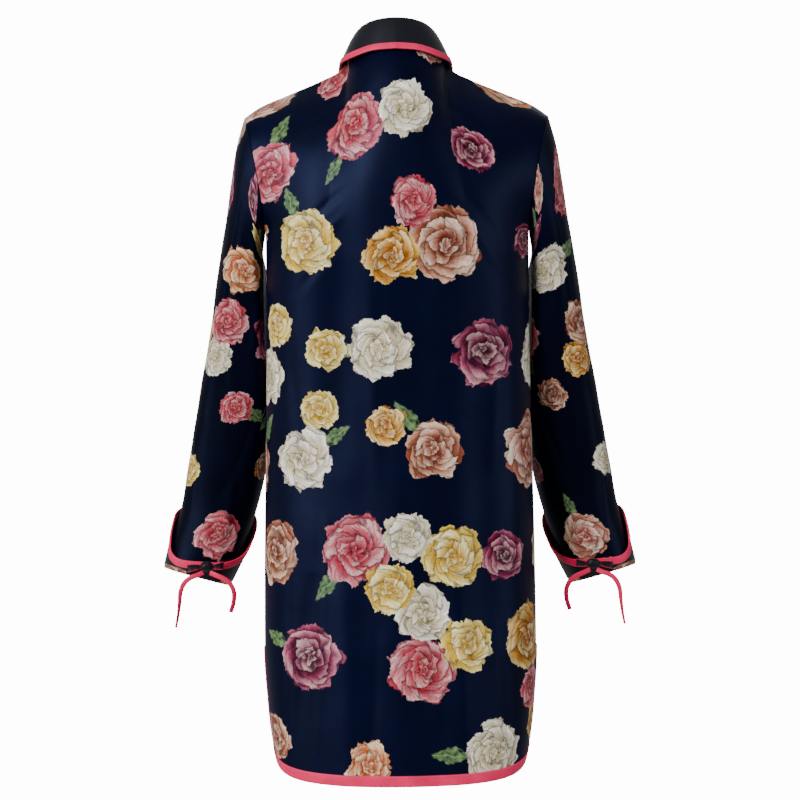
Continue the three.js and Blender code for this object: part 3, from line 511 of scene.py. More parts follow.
def sleeve_point(turn, level):
    """The left sleeve: its rings joined by the smooth curve, its creases lifted away from its
    axis, and its inner side kept clear of the body."""
    rings, middle = sleeve_rings(turn)
    knots = np.arange(SLEEVE_END + 1)
    p = through(knots, rings, level[..., None])
    axis = through(knots, middle, level[..., None])
    row = {name: values[:, None, None] for name, values in SLEEVE_FOLDS.items()}
    t = (p[None, ..., 2] - row["top"]) / (row["end"] - row["top"])
    line = row["turn_top"] + (row["turn_end"] - row["turn_top"]) * t
    ridge = np.exp(-(((turn[None] - line) / row["wide"]) ** 2))
    lift = (row["high"] * np.sin(np.pi * np.clip(t, 0, 1)) * ridge).sum(axis=0)
    lift += 0.3 * np.sin(p[..., 2] / 13 + turn / 9) * np.sin(p[..., 2] / 37) * smooth(level)
    lift -= 0.5 * np.exp(-((level / 0.08) ** 2)) * (level > 0) * (1 + 0.5 * np.sin(turn * 1.9))
    away = p - axis
    away[..., 2] = 0
    p = p + unit(away) * (lift * (level > 0))[..., None]
    clear = SLEEVE_CLEAR * smooth(level / 1.5) + SEAM * 2
    low = p[..., 2] < ARMHOLE["bottom"][2] + 8
    least = body_out(p[..., 1], p[..., 2]) + clear
    p[..., 0] = np.where(low & (level > 0), np.maximum(p[..., 0], least), p[..., 0])
    return p


def sleeve_surface():
    """The left sleeve as a ring-wise grid from the armhole to the wrist."""
    turn, level = grid_of(ROUND, np.linspace(0, SLEEVE_END, SLEEVE_STEPS))
    grid = sleeve_point(turn, level)
    return {"points": grid, "normals": -normals_of(grid, True)}


def cuff_surface():
    """The cuff turned back over the sleeve's end: the sleeve's own form read at the cuff's
    heights, moved out by a flare that grows with the share of the way up."""
    turn, share = grid_of(ROUND, np.linspace(0, 1, 26))
    rows = sleeve_point(*grid_of(ROUND, np.arange(SLEEVE_END + 1.0)))[..., 2].T[..., None]
    lowest = rows[-1]
    top = through(CUFF_EDGE["turn"], CUFF_EDGE["up"], turn)
    up = lowest + (top - lowest) * share
    k = np.clip((rows > up[None]).sum(axis=0) - 1, CUFF_FROM - 1, SLEEVE_END - 1)
    rows = np.broadcast_to(rows, (SLEEVE_END + 1,) + up.shape)
    here = np.take_along_axis(rows, k[None], axis=0)[0]
    below = np.take_along_axis(rows, k[None] + 1, axis=0)[0]
    level = np.minimum(SLEEVE_END, k + (here - up) / (here - below))
    p = sleeve_point(turn, level)
    _, middle = sleeve_rings(turn)
    away = p - through(np.arange(SLEEVE_END + 1), middle, level[..., None])
    away[..., 2] = 0
    c = np.cos(np.radians(turn))
    reach = np.where(c > 0, CUFF_FLARE["outer"], CUFF_FLARE["inner"])
    flare = CUFF_FLARE["flat"] + reach * np.abs(c) ** 1.5
    tuck = -1.2 * np.exp(-((share / 0.05) ** 2))
    soft = 0.5 * np.sin(np.radians(turn) * 7 + share * 3) * share * (1 - share)
    grid = softened(p + unit(away) * (CUFF_OFF + flare * share + tuck + soft)[..., None], 2, True)
    inside = (top - lowest - CUFF_TAPE) / (top - lowest)
    return {"points": grid, "normals": normals_of(grid, True), "tape": inside[:, 0]}


def stand_surface():
    """The collar stand: one strip from the neck seam up to the fold, its ends past the centre."""
    end_turn = np.pi + STAND_PAST
    turn, share = grid_of(np.linspace(-end_turn, end_turn, 161), np.linspace(0, 1, 14))
    inset = UNDER_STEP * smooth((turn - np.pi + 2 * STAND_PAST) / STAND_PAST) * (turn > 0)
    end = smooth((np.abs(turn) - np.pi + STAND_PAST) / (2 * STAND_PAST))
    low = ring_point(NECK, turn) + [0, 0, 2 * SEAM]
    high = ring_point(FOLD, turn) + stack(0, 0, -1 - 6 * end)
    p = low + (high - low) * share[..., None]
    inward = -p
    inward[..., 2] = 0
    grid = p + unit(inward) * inset[..., None]
    return {"points": grid, "normals": -normals_of(grid)}


def fall_surface():
    """The collar's fall: a crowned strip from the fold to its edge, with a slow roll along it."""
    turn, share = grid_of(np.linspace(-FALL_TO, FALL_TO, 181), np.linspace(0, 1, 26))
    hand = np.where(turn < 0, -1, 1)
    read = {n: through(FALL_EDGE["turn"], FALL_EDGE[n], np.abs(turn)) for n in FALL_EDGE}
    fold = ring_point(FOLD, turn)
    outward = unit(fold * [1, 1, 0])
    start = fold + outward * 1.8
    edge = stack(hand * read["side"], read["depth"], read["up"])
    bend = -0.9 * np.exp(-((share / 0.04) ** 2))
    roll = 0.8 * np.sin(turn * 5 + 1) * share * (1 - share)
    crown = FALL_CROWN * np.sin(np.pi * share**0.7) + bend + roll
    grid = start + (edge - start) * share[..., None] + outward * crown[..., None]
    return {"points": grid, "normals": normals_of(grid), "tape": FALL_TAPE}


def arc_lengths(points, axis):
    """Running length along one axis of a grid."""
    steps = np.linalg.norm(np.diff(points, axis=axis), axis=-1)
    pad = [(1, 0) if i == axis else (0, 0) for i in range(2)]
    return np.pad(np.cumsum(steps, axis=axis), pad)


def flat_places(points, wrap):
    """The cloth laid flat: across is the length along each row from its middle, and up is the
    length along each column, both in millimetres. A tube is cut at its first column."""
    across = arc_lengths(points, 0)
    if not wrap:
        across = across - across[len(across) // 2][None]
    along = arc_lengths(points, 1)
    return np.stack([across, np.broadcast_to(along.mean(axis=0), along.shape)], axis=-1)


def mesh_object(name, points, faces, uvs=None):
    """A mesh object at the origin from points in millimetres, smooth but for its sharp edges."""
    mesh = bpy.data.meshes.new(name)
    faces = faces if isinstance(faces, list) else faces.tolist()
    mesh.from_pydata((points / 1000).tolist(), [], faces)
    if uvs is not None:
        layer = mesh.uv_layers.new(name="flat")
        if len(uvs) == len(points):
            corner = np.zeros(len(mesh.loops), int)
            mesh.loops.foreach_get("vertex_index", corner)
            uvs = uvs[corner]
        layer.data.foreach_set("uv", (uvs / 1000).astype(np.float32).ravel())
    mesh.shade_smooth()
    mesh.set_sharp_from_angle(angle=np.radians(50))
    mesh.update()
    piece = bpy.data.objects.new(name, mesh)
    bpy.context.scene.collection.objects.link(piece)
    return piece


def grid_faces(count, rows, wrap):
    """Four-cornered faces of a grid whose points are numbered row by row."""
    i = np.arange(count if wrap else count - 1)[:, None]
    j = np.arange(rows - 1)[None]
    after = (i + 1) % count
    corners = [i * rows + j, after * rows + j, after * rows + j + 1, i * rows + j + 1]
    return np.stack(np.broadcast_arrays(*corners), axis=-1).reshape(-1, 4)


def signed_volume(points, faces):
    """Six times the volume inside a closed mesh of four-cornered faces."""
    a, b, c, d = (points[faces[:, k]] for k in range(4))
    return (a * np.cross(b, c)).sum() + (a * np.cross(c, d)).sum()


def shell(name, surface, thick, wrap=False):
    """A closed sheet of cloth: the grid, the same grid moved in by its thickness, and the strips
    that close its edges. Returns the object and each vertex's flat place."""
    outer = surface["points"]
    inner = outer - surface["normals"] * thick
    count, rows = outer.shape[:2]
    total = count * rows
    outside = grid_faces(count, rows, wrap)
    strips = []
    ends = [np.arange(count) * rows, np.arange(count) * rows + rows - 1]
    for edge in ends:
        following = np.roll(edge, -1) if wrap else edge[1:]
        here = edge if wrap else edge[:-1]
        strips.append(np.stack([here, following, following + total, here + total], axis=-1))
    if not wrap:
        for edge in (np.arange(rows), np.arange(rows) + (count - 1) * rows):
            strips.append(np.stack([edge[:-1], edge[1:], edge[1:] + total, edge[:-1] + total], axis=-1))
    strips[0] = strips[0][:, ::-1]
    if not wrap:
        strips[3] = strips[3][:, ::-1]
    faces = np.concatenate([outside, outside[:, ::-1] + total] + strips)
    points = np.concatenate([outer.reshape(-1, 3), inner.reshape(-1, 3)])
    if signed_volume(points, faces) < 0:
        faces = faces[:, ::-1]
    flat = flat_places(outer, wrap)
    places = np.concatenate([flat.reshape(-1, 2)] * 2)
    uvs = places[faces.ravel()].reshape(-1, 4, 2)
    if wrap:
        around = flat[:, :, 0].max() * (1 + 1 / count)
        jump = uvs[..., 0].max(axis=1) - uvs[..., 0].min(axis=1) > around / 2
        low = uvs[..., 0] < around / 2
        uvs[..., 0] = np.where(jump[:, None] & low, uvs[..., 0] + around, uvs[..., 0])
    return mesh_object(name, points, faces, uvs.reshape(-1, 2)), places


def mirrored(surface):
    """The same surface on the other arm."""
    flip = np.array([-1, 1, 1])
    return {**surface, "points": surface["points"] * flip, "normals": surface["normals"] * flip}


def attribute(piece, name, values, kind="FLOAT_VECTOR"):
    """One value for each vertex, kept on the mesh under a name that a material reads."""
    layer = piece.data.attributes.new(name, kind, "POINT")
    field = {"FLOAT_VECTOR": "vector", "FLOAT_COLOR": "color", "FLOAT": "value"}[kind]
    layer.data.foreach_set(field, np.ascontiguousarray(values, np.float32).ravel())


def linear(colour):
    """A hex sRGB colour as linear red, green and blue, with an alpha of 1."""
    parts = np.array([int(colour[i : i + 2], 16) for i in (1, 3, 5)]) / 255
    return (*np.where(parts > 0.04045, ((parts + 0.055) / 1.055) ** 2.4, parts / 12.92), 1.0)


def scatter(low, high, spacing, size, seed, period=None):
    """The print's clusters over a flat piece: a half-drop layout whose places and sizes vary a
    little. Each bloom takes the first layer in which it stands clear of the others there, and is
    left out if none has room. Returns rows of blooms (place, radius, turn, layer, tone, number)
    and of leaves, which peep out beside a cluster."""
    rng = np.random.default_rng(seed)
    forms = ["single", "trio", "small", "pair", "single", "trio", "pair", "small"]
    across = max(1, round((high[0] - low[0]) / spacing))
    step = (high[0] - low[0]) / across
    lines = max(1, round((high[1] - low[1]) / (spacing * 0.84)))
    rise = (high[1] - low[1]) / lines
    blooms = []
    leaves = []

    def room(x, y, radius, layer):
        for other in blooms:
            aside = abs(other[0] - x)
            if period:
                aside = min(aside, period - aside)
            if other[4] == layer and np.hypot(aside, other[1] - y) < 1.16 * (radius + other[2]):
                return False
        return True

    for i in range(across):
        for j in range(lines):
            place = np.array([low[0] + step * (i + 0.25 + 0.5 * (j % 2)), low[1] + rise * (j + 0.5)])
            place += rng.uniform(-1, 1, 2) * spacing / 10
            form = FORMS[forms[(3 * i + 5 * j + seed) % len(forms)]]
            turn = rng.uniform(0, 2 * np.pi)
            spin = np.array([[np.cos(turn), -np.sin(turn)], [np.sin(turn), np.cos(turn)]])
            first = rng.integers(len(TONES))
            for number, (x, y, reach) in enumerate(form):
                centre = place + spin @ np.array([x, y]) * size
                radius = size * reach * rng.uniform(0.86, 1.06)
                free = [k for k in range(LAYERS) if room(*centre, radius, k)]
                tone = (first + number * 3) % len(TONES)
                if free:
                    blooms.append((*centre, radius, turn, free[0], tone, rng.uniform(0, 9)))
            if rng.uniform() < 0.42:
                away = turn + rng.uniform(-0.6, 0.6)
                far = size * (form[0][2] + 0.12)
                spot = place + spin @ np.array(form[0][:2]) * size
                tip = spot + far * np.array([np.cos(away), np.sin(away)])
                leaves.append((*tip, size * rng.uniform(0.42, 0.6), away, 0, 0, 0))
    return np.array(blooms), np.array(leaves)


def nearest_motif(places, motifs, period):
    """For each place, its nearest motif's row and the place in that motif's own turned frame, in
    shares of its radius. Distances go round a tube the short way."""
    away = places[:, None] - motifs[None, :, :2]
    if period:
        away[..., 0] = (away[..., 0] + period / 2) % period - period / 2
    c, s = np.cos(motifs[:, 3]), np.sin(motifs[:, 3])
    x = (away[..., 0] * c + away[..., 1] * s) / motifs[:, 2]
    y = (away[..., 1] * c - away[..., 0] * s) / motifs[:, 2]
    near = np.hypot(x, y).argmin(axis=1)
    pick = np.arange(len(places))
    return near, x[pick, near], y[pick, near]


def print_cloth(piece, places, blooms, leaves, period):
    """Writes the print on a piece: for each layer of blooms a vector (place in the bloom and 1
    inside it), the petal tone with the bloom's number as alpha, and the heart tone with the
    stripes as alpha. The leaves have a vector of their own."""
    petals = np.array([linear(tone[0])[:3] for tone in TONES.values()])
    hearts = np.array([linear(tone[1])[:3] for tone in TONES.values()])
    stripes = np.array([tone[2] for tone in TONES.values()])
    far_off = blooms[:1] + np.array([9e3, 9e3, 0, 0, 0, 0, 0])
    for layer in range(LAYERS):
        own = blooms[blooms[:, 4] == layer]
        own = own if len(own) else far_off
        near, x, y = nearest_motif(places, own, period)
        inside = np.hypot(x, y) < 1.12
        tone = own[near, 5].astype(int)
        attribute(piece, f"bloom{layer}", np.stack([x, y, inside], axis=-1))
        petal = np.concatenate([petals[tone], own[near, 6:7]], axis=-1)
        heart = np.concatenate([hearts[tone], stripes[tone][:, None]], axis=-1)
        attribute(piece, f"petal{layer}", petal, "FLOAT_COLOR")
        attribute(piece, f"heart{layer}", heart, "FLOAT_COLOR")
    near, x, y = nearest_motif(places, leaves, period)
    attribute(piece, "leaf", np.stack([x, y, np.hypot(x, y) < 1.08], axis=-1))


def add(tree, kind, inputs=None, **settings):
    """Adds one shader node with its settings; a node or socket given as an input is linked."""
    node = tree.nodes.new("ShaderNode" + kind)
    for name, value in settings.items():
        setattr(node, name, value)
    for key, value in (inputs or {}).items():
        if isinstance(value, bpy.types.Node):
            value = value.outputs[0]
        if isinstance(value, bpy.types.NodeSocket):
            tree.links.new(value, node.inputs[key])
        else:
            node.inputs[key].default_value = value
    return node


def bloom_group():
    """A painted full-blown flower as a node group.

    Petals are cells on a cylinder round the flower's axis, so each ring of them closes, and their
    size grows outwards. A petal is dark where the next one covers it and pale at its outer rim.
    """
    tree = bpy.data.node_groups.new("painted bloom", "ShaderNodeTree")
    for name, kind in (("Place", "Vector"), ("Petal", "Color"), ("Heart", "Color"),
                       ("Number", "Float"), ("Stripes", "Float")):
        tree.interface.new_socket(name, in_out="INPUT", socket_type="NodeSocket" + kind)
    tree.interface.new_socket("Color", in_out="OUTPUT", socket_type="NodeSocketColor")
    tree.interface.new_socket("Mask", in_out="OUTPUT", socket_type="NodeSocketFloat")
    given = tree.nodes.new("NodeGroupInput").outputs
    split = add(tree, "SeparateXYZ", {0: given["Place"]})
    flat = add(tree, "CombineXYZ", {0: split.outputs[0], 1: split.outputs[1], 2: given["Number"]})
    wobble = add(tree, "TexNoise", {"Vector": flat, "Scale": 2.3, "Detail": 3.0, "Roughness": 0.6})
    centred = add(tree, "VectorMath", {0: wobble.outputs["Color"], 1: (0.5, 0.5, 0.5)},
                  operation="SUBTRACT")
    bent = add(tree, "VectorMath", {0: centred, 1: (0.42, 0.42, 0), 2: flat},
               operation="MULTIPLY_ADD")
    level = add(tree, "VectorMath", {0: bent, 1: (1, 1, 0)}, operation="MULTIPLY")
    radius = add(tree, "VectorMath", {0: level}, operation="LENGTH").outputs["Value"]
    way = add(tree, "VectorMath", {0: level}, operation="NORMALIZE")
    twist = add(tree, "Math", {0: radius, 1: 2.4}, operation="MULTIPLY")
    swirled = add(tree, "VectorRotate", {"Vector": way, "Angle": twist}, rotation_type="Z_AXIS")
    ring = add(tree, "Math", {0: radius, 1: 0.62}, operation="POWER")
    ring = add(tree, "Math", {0: ring, 1: 3.4}, operation="MULTIPLY")
    lift = add(tree, "Math", {0: given["Number"], 1: 7.0, 2: ring}, operation="MULTIPLY_ADD")
    turned = add(tree, "VectorMath", {0: swirled, 1: (0.95, 0.95, 0)}, operation="MULTIPLY")
    raised = add(tree, "CombineXYZ", {2: lift})
    spot = add(tree, "VectorMath", {0: turned, 1: raised}, operation="ADD")
    cell = add(tree, "TexVoronoi", {"Vector": spot, "Scale": 1.25, "Randomness": 0.85})
    rim = add(tree, "TexVoronoi", {"Vector": spot, "Scale": 1.25, "Randomness": 0.85},
              feature="DISTANCE_TO_EDGE")
    middle = add(tree, "SeparateXYZ", {0: cell.outputs["Position"]})
    outwards = add(tree, "Math", {0: lift, 1: middle.outputs[2]}, operation="SUBTRACT")
    shade = add(tree, "MapRange", {0: outwards, 1: -0.55, 2: 0.5},
                interpolation_type="SMOOTHSTEP")
    crevice = add(tree, "MapRange", {0: rim.outputs["Distance"], 1: 0.0, 2: 0.085},
                  interpolation_type="SMOOTHSTEP")
    stroke_at = add(tree, "VectorMath", {0: spot, 1: (3.4, 3.4, 1.1)}, operation="MULTIPLY")
    stroke = add(tree, "TexNoise", {"Vector": stroke_at, "Scale": 1.8, "Detail": 4.0})
    grain = add(tree, "TexNoise", {"Vector": flat, "Scale": 13.0, "Detail": 2.0})
    heart_mix = add(tree, "MapRange", {0: radius, 1: 0.12, 2: 0.85})
    ground = add(tree, "Mix", {0: heart_mix.outputs[0], 6: given["Heart"], 7: given["Petal"]},
                 data_type="RGBA")
    deep = add(tree, "Mix", {0: 1.0, 6: ground.outputs[2], 7: given["Heart"]},
               data_type="RGBA", blend_type="MULTIPLY")
    lit = add(tree, "Mix", {0: shade.outputs[0], 6: deep.outputs[2], 7: ground.outputs[2]},
              data_type="RGBA")
    pale_share = add(tree, "Math", {0: shade.outputs[0], 1: 3.0}, operation="POWER")
    pale_share = add(tree, "Math", {0: pale_share, 1: 0.34}, operation="MULTIPLY")
    pale = add(tree, "Mix", {0: pale_share, 6: lit.outputs[2], 7: linear("#f7efdf")},
               data_type="RGBA")
    streak = add(tree, "MapRange", {0: stroke.outputs[0], 1: 0.46, 2: 0.56})
    streak = add(tree, "Math", {0: streak.outputs[0], 1: given["Stripes"]}, operation="MULTIPLY")
    striped = add(tree, "Mix", {0: streak, 6: pale.outputs[2], 7: given["Heart"]},
                  data_type="RGBA")
    gaps = add(tree, "MapRange", {0: crevice.outputs[0], 3: 0.34, 4: 1.0})
    brush = add(tree, "MapRange", {0: stroke.outputs[0], 1: 0.3, 2: 0.7, 3: 0.72, 4: 1.2})
    speck = add(tree, "MapRange", {0: grain.outputs[0], 1: 0.3, 2: 0.7, 3: 0.84, 4: 1.12})
    tone = add(tree, "Math", {0: gaps.outputs[0], 1: brush.outputs[0]}, operation="MULTIPLY")
    tone = add(tree, "Math", {0: tone, 1: speck.outputs[0]}, operation="MULTIPLY")
    final = add(tree, "VectorMath", {0: striped.outputs[2], 3: tone}, operation="SCALE")
    frill_at = add(tree, "CombineXYZ", {2: given["Number"]})
    frill_at = add(tree, "VectorMath", {0: way, 1: frill_at}, operation="ADD")
    frill = add(tree, "TexNoise", {"Vector": frill_at, "Scale": 2.4, "Detail": 3.0,
                                   "Roughness": 0.5})
    reach = add(tree, "MapRange", {0: frill.outputs[0], 1: 0.25, 2: 0.75, 3: 0.74, 4: 1.06})
    depth = add(tree, "Math", {0: reach.outputs[0], 1: radius}, operation="SUBTRACT")
    edge = add(tree, "MapRange", {0: depth, 1: 0.0, 2: 0.03})
    within = add(tree, "Math", {0: split.outputs[2], 1: 0.9}, operation="GREATER_THAN")
    mask = add(tree, "Math", {0: edge.outputs[0], 1: within}, operation="MULTIPLY")
    result = tree.nodes.new("NodeGroupOutput")
    tree.links.new(final.outputs[0], result.inputs["Color"])
    tree.links.new(mask.outputs[0], result.inputs["Mask"])
    return tree


def new_material(name, finish):
    """A node material with its output and a Principled shader that has the finish's values."""
    material = bpy.data.materials.new(name)
    material.use_nodes = True
    tree = material.node_tree
    tree.nodes.clear()
    shader = add(tree, "BsdfPrincipled", finish)
    output = tree.nodes.new("ShaderNodeOutputMaterial")
    tree.links.new(shader.outputs[0], output.inputs[0])
    return material, tree, shader


# The pitch and depth of each weave's ribs in metres. The real ribs lie about half as far apart
# and are drawn coarser, because finer ones don't show.
TWILL = (0.0006, 0.00012)
SATIN = (0.0004, 0.00008)
WAVE = 0.314  # metres from band to band of the wave texture at scale 1


def woven(tree, shader, weave, colour):
    """The weave: fine diagonal ribs at the cloth's own scale raise the surface, and a slow cloud
    of noise varies the colour a little, as dyed silk does. Gives the shader both."""
    pitch, depth = weave
    place = add(tree, "UVMap", uv_map="flat")
    ribs_at = add(tree, "Mapping", {"Vector": place.outputs[0], "Rotation": (0, 0, 1.1)})
    ribs = add(tree, "TexWave", {"Vector": ribs_at, "Scale": WAVE / pitch, "Distortion": 1.5,
                                 "Detail": 2.0, "Detail Scale": 1.5})
    bump = add(tree, "Bump", {"Height": ribs.outputs[1], "Strength": 0.25, "Distance": depth})
    tree.links.new(bump.outputs[0], shader.inputs["Normal"])
    where = add(tree, "TexCoord").outputs["Object"]
    cloud = add(tree, "TexNoise", {"Vector": where, "Scale": 38.0, "Detail": 4.0})
    amount = add(tree, "MapRange", {0: cloud.outputs[0], 1: 0.3, 2: 0.7, 3: 0.86, 4: 1.16})
    varied = add(tree, "VectorMath", {0: colour, 3: amount.outputs[0]}, operation="SCALE")
    tree.links.new(varied.outputs[0], shader.inputs["Base Color"])


def print_colour(tree):
    """The print as a colour: a dark navy ground, with painted shade that darkens it on the arms, and
    leaves and flowers.
    """
    group = bpy.data.node_groups.get("painted bloom") or bloom_group()
    cloud_at = add(tree, "TexCoord")
    cloud = add(tree, "TexNoise", {"Vector": cloud_at.outputs["Object"], "Scale": 9.0, "Detail": 3.0})
    navy = add(tree, "Mix", {0: cloud.outputs[0], 6: linear("#01010a"), 7: linear("#040724")},
               data_type="RGBA")
    # Painted shade: from 0.17 to 0.21 m out from the middle the navy ground is scaled down to 0.4 of
    # itself, so the sleeves look as if they hang in shade.
    across = add(tree, "SeparateXYZ", {0: cloud_at.outputs["Object"]}).outputs[0]
    across = add(tree, "Math", {0: across}, operation="ABSOLUTE")
    arm = add(tree, "MapRange", {0: across, 1: 0.17, 2: 0.21, 3: 1.0, 4: 0.4})
    colour = add(tree, "VectorMath", {0: navy.outputs[2], 3: arm.outputs[0]}, operation="SCALE")
    leaf = add(tree, "Attribute", attribute_name="leaf")
    sway = add(tree, "TexNoise", {"Vector": leaf.outputs["Vector"], "Scale": 1.7, "Detail": 2.0})
    sway = add(tree, "VectorMath", {0: sway.outputs["Color"], 1: (0.5, 0.5, 0.5)},
               operation="SUBTRACT")
    bent = add(tree, "VectorMath", {0: sway, 1: (0.5, 0.5, 0), 2: leaf.outputs["Vector"]},
               operation="MULTIPLY_ADD")
    split = add(tree, "SeparateXYZ", {0: bent})
    across = add(tree, "Math", {0: split.outputs[1]}, operation="ABSOLUTE")
    along = add(tree, "Math", {0: split.outputs[0], 1: split.outputs[0]}, operation="MULTIPLY")
    width = add(tree, "Math", {0: along, 1: -0.4, 2: 0.34}, operation="MULTIPLY_ADD")
    ragged = add(tree, "TexNoise", {"Vector": leaf.outputs["Vector"], "Scale": 4.0, "Detail": 5.0})
    width = add(tree, "Math", {0: ragged.outputs[0], 1: 0.3, 2: width}, operation="MULTIPLY_ADD")
    room = add(tree, "Math", {0: width, 1: across}, operation="SUBTRACT")
    cover = add(tree, "MapRange", {0: room, 1: 0.14, 2: 0.2})
    within = add(tree, "Math", {0: split.outputs[2], 1: 0.9}, operation="GREATER_THAN")
    cover = add(tree, "Math", {0: cover.outputs[0], 1: within}, operation="MULTIPLY")
    vein = add(tree, "MapRange", {0: across, 1: 0.0, 2: 0.04, 3: 0.35, 4: 0.0})
    green = add(tree, "MapRange", {0: ragged.outputs[0], 1: 0.32, 2: 0.68})
    green = add(tree, "Mix", {0: green.outputs[0], 6: linear("#0d2114"), 7: linear("#6f8a58")},
                data_type="RGBA")
    green = add(tree, "Mix", {0: vein.outputs[0], 6: green.outputs[2], 7: linear("#9db58a")},
                data_type="RGBA")
    colour = add(tree, "Mix", {0: cover, 6: colour, 7: green.outputs[2]},
                 data_type="RGBA").outputs[2]
    for layer in range(LAYERS):
        place = add(tree, "Attribute", attribute_name=f"bloom{layer}")
        petal = add(tree, "Attribute", attribute_name=f"petal{layer}")
        heart = add(tree, "Attribute", attribute_name=f"heart{layer}")
        flower = tree.nodes.new("ShaderNodeGroup")
        flower.node_tree = group
        for name, socket in (("Place", place.outputs["Vector"]), ("Petal", petal.outputs["Color"]),
                             ("Heart", heart.outputs["Color"]), ("Number", petal.outputs["Alpha"]),
                             ("Stripes", heart.outputs["Alpha"])):
            tree.links.new(socket, flower.inputs[name])
        colour = add(tree, "Mix", {0: flower.outputs["Mask"], 6: colour, 7: flower.outputs["Color"]},
                     data_type="RGBA").outputs[2]
    return colour


def silk_print(name):
    """Printed silk twill: painterly flowers and leaves on navy, and a soft sheen that brightens
    folds turned to the light."""
    material, tree, shader = new_material(name, {
        "Roughness": 0.42, "Specular IOR Level": 0.14, "Sheen Weight": 0.05, "Sheen Roughness": 0.3,
        "Sheen Tint": linear("#7c95ff"), "Specular Tint": linear("#a0b3ff"),
    })
    woven(tree, shader, TWILL, print_colour(tree))
    return material


def plain_silk(name, colour, roughness, sheen):
    """Plain silk satin: one dyed colour with fine ribs; smoother than the twill, so its light
    lies in longer bands."""
    material, tree, shader = new_material(name, {
        "Roughness": roughness, "Specular IOR Level": 0.3, "Sheen Weight": sheen,
        "Sheen Roughness": 0.35,
    })
    woven(tree, shader, SATIN, linear(colour)[:3])
    return material


def cuff_silk(name, colour):
    """Plain silk satin with the printed cloth turned up round its lower edge: the attribute turned
    falls from 1 at the edge to 0 at the top of that strip."""
    material, tree, shader = new_material(name, {
        "Roughness": 0.42, "Specular IOR Level": 0.25, "Sheen Weight": 0.1,
    })
    turned = add(tree, "Attribute", attribute_name="turned")
    strip = add(tree, "Math", {0: turned.outputs["Fac"], 1: 0.02}, operation="GREATER_THAN")
    both = add(tree, "Mix", {0: strip, 6: linear(colour), 7: print_colour(tree)}, data_type="RGBA")
    woven(tree, shader, SATIN, both.outputs[2])
    return material


def two_faced_silk(name):
    """Ribbon of navy silk backed with pink: the attribute side is 1 on its pink face."""
    material, tree, shader = new_material(name, {
        "Roughness": 0.45, "Specular IOR Level": 0.2, "Sheen Weight": 0.08,
    })
    side = add(tree, "Attribute", attribute_name="side")
    colour = add(tree, "Mix", {0: side.outputs["Fac"], 6: linear("#05060f"), 7: linear("#d81550")},
                 data_type="RGBA")
    woven(tree, shader, SATIN, colour.outputs[2])
    return material


def shell_button(name):
    """Dark shell: a cloudy grey-navy with slow bands and a polished, slightly coated surface."""
    material, tree, shader = new_material(name, {"Roughness": 0.2, "Coat Weight": 0.4})
    where = add(tree, "TexCoord").outputs["Object"]
    bands = add(tree, "TexWave", {"Vector": where, "Scale": 90.0, "Distortion": 6.0, "Detail": 3.0})
    colour = add(tree, "Mix", {0: bands.outputs[1], 6: linear("#15161f"), 7: linear("#3a3c4c")},
                 data_type="RGBA")
    tree.links.new(colour.outputs[2], shader.inputs["Base Color"])
    return material


def thread(name):
    """Spun polyester sewing thread: a matt strand, with plied ridges across it painted as dark pink shade
    and light pink highlight.
    """
    material, tree, shader = new_material(name, {"Roughness": 0.7})
    where = add(tree, "TexCoord").outputs["Object"]
    # Painted shade and highlight: the wave's bands darken and lighten the pink where the ply's grooves
    # and crests would be.
    painted_ply_shade = add(tree, "TexWave", {"Vector": where, "Scale": 700.0, "Distortion": 1.0})
    colour = add(tree, "Mix", {0: painted_ply_shade.outputs[1], 6: linear("#b03358"), 7: linear("#ee7d9c")},
                 data_type="RGBA")
    tree.links.new(colour.outputs[2], shader.inputs["Base Color"])
    return material


def surface_at(evaluate, first, second, facing):
    """Points and unit normals of a surface given by a function of two parameters. The normal is
    the cross product of two small steps, each taken back from the place."""
    step = 2e-3
    points = evaluate(first, second)
    along = points - evaluate(first - step, second)
    upward = evaluate(first, second + step) - points
    return {"points": points, "normals": facing * unit(np.cross(along, upward))}


def vent_stations(shares, low, high):
    """Places along a bound edge, up both vents where they are asked for, as share and level."""
    up = np.linspace(0, VENT_ROW, 60)[1:]
    path = [np.stack([shares, 0 * shares], axis=-1)]
    if low:
        path.insert(0, np.stack([0 * up + shares[0], up], axis=-1)[::-1])
    if high:
        path.append(np.stack([0 * up + shares[-1], up], axis=-1))
    return np.concatenate(path)


def hem_band(evaluate, stations, facing):
    """The strip of a panel that its hem binding covers: from each place on the edge in to the
    hem's first row, or to the vent tape's width, which turn into each other at the corner."""
    share, level = stations.T
    size = np.abs(share)
    wide = VENT_TAPE
    slide = 0.06
    in_share = np.sign(share) * np.where(size > 1 - wide, 1 - wide + slide * (size - 1 + wide), size)
    in_level = np.where(level < 1, 1 - slide * (1 - level), level)
    first = in_share[:, None] + (share - in_share)[:, None] * BAND
    second = in_level[:, None] + (level - in_level)[:, None] * BAND
    step = 2e-3
    points = evaluate(first, second)
    inner = np.sign(first) * np.abs(np.abs(first) - step)
    along = (points - evaluate(inner, second)) * np.sign(first)[..., None]
    upward = evaluate(first, second + step) - points
    return {"points": points, "normals": facing * unit(np.cross(along, upward))}


def edge_band(surface, start):
    """The strip of a grid from a share of its rows up to its last row."""
    points, normals = surface["points"], surface["normals"]
    start = np.broadcast_to(start, points.shape[:1])
    row = (start[:, None] + (1 - start)[:, None] * BAND) * (points.shape[1] - 1)
    k = np.clip(row.astype(int), 0, points.shape[1] - 2)
    t = (row - k)[..., None]
    line = np.arange(len(points))[:, None]
    place = points[line, k] * (1 - t) + points[line, k + 1] * t
    facing = normals[line, k] * (1 - t) + normals[line, k + 1] * t
    return {"points": place, "normals": unit(facing)}


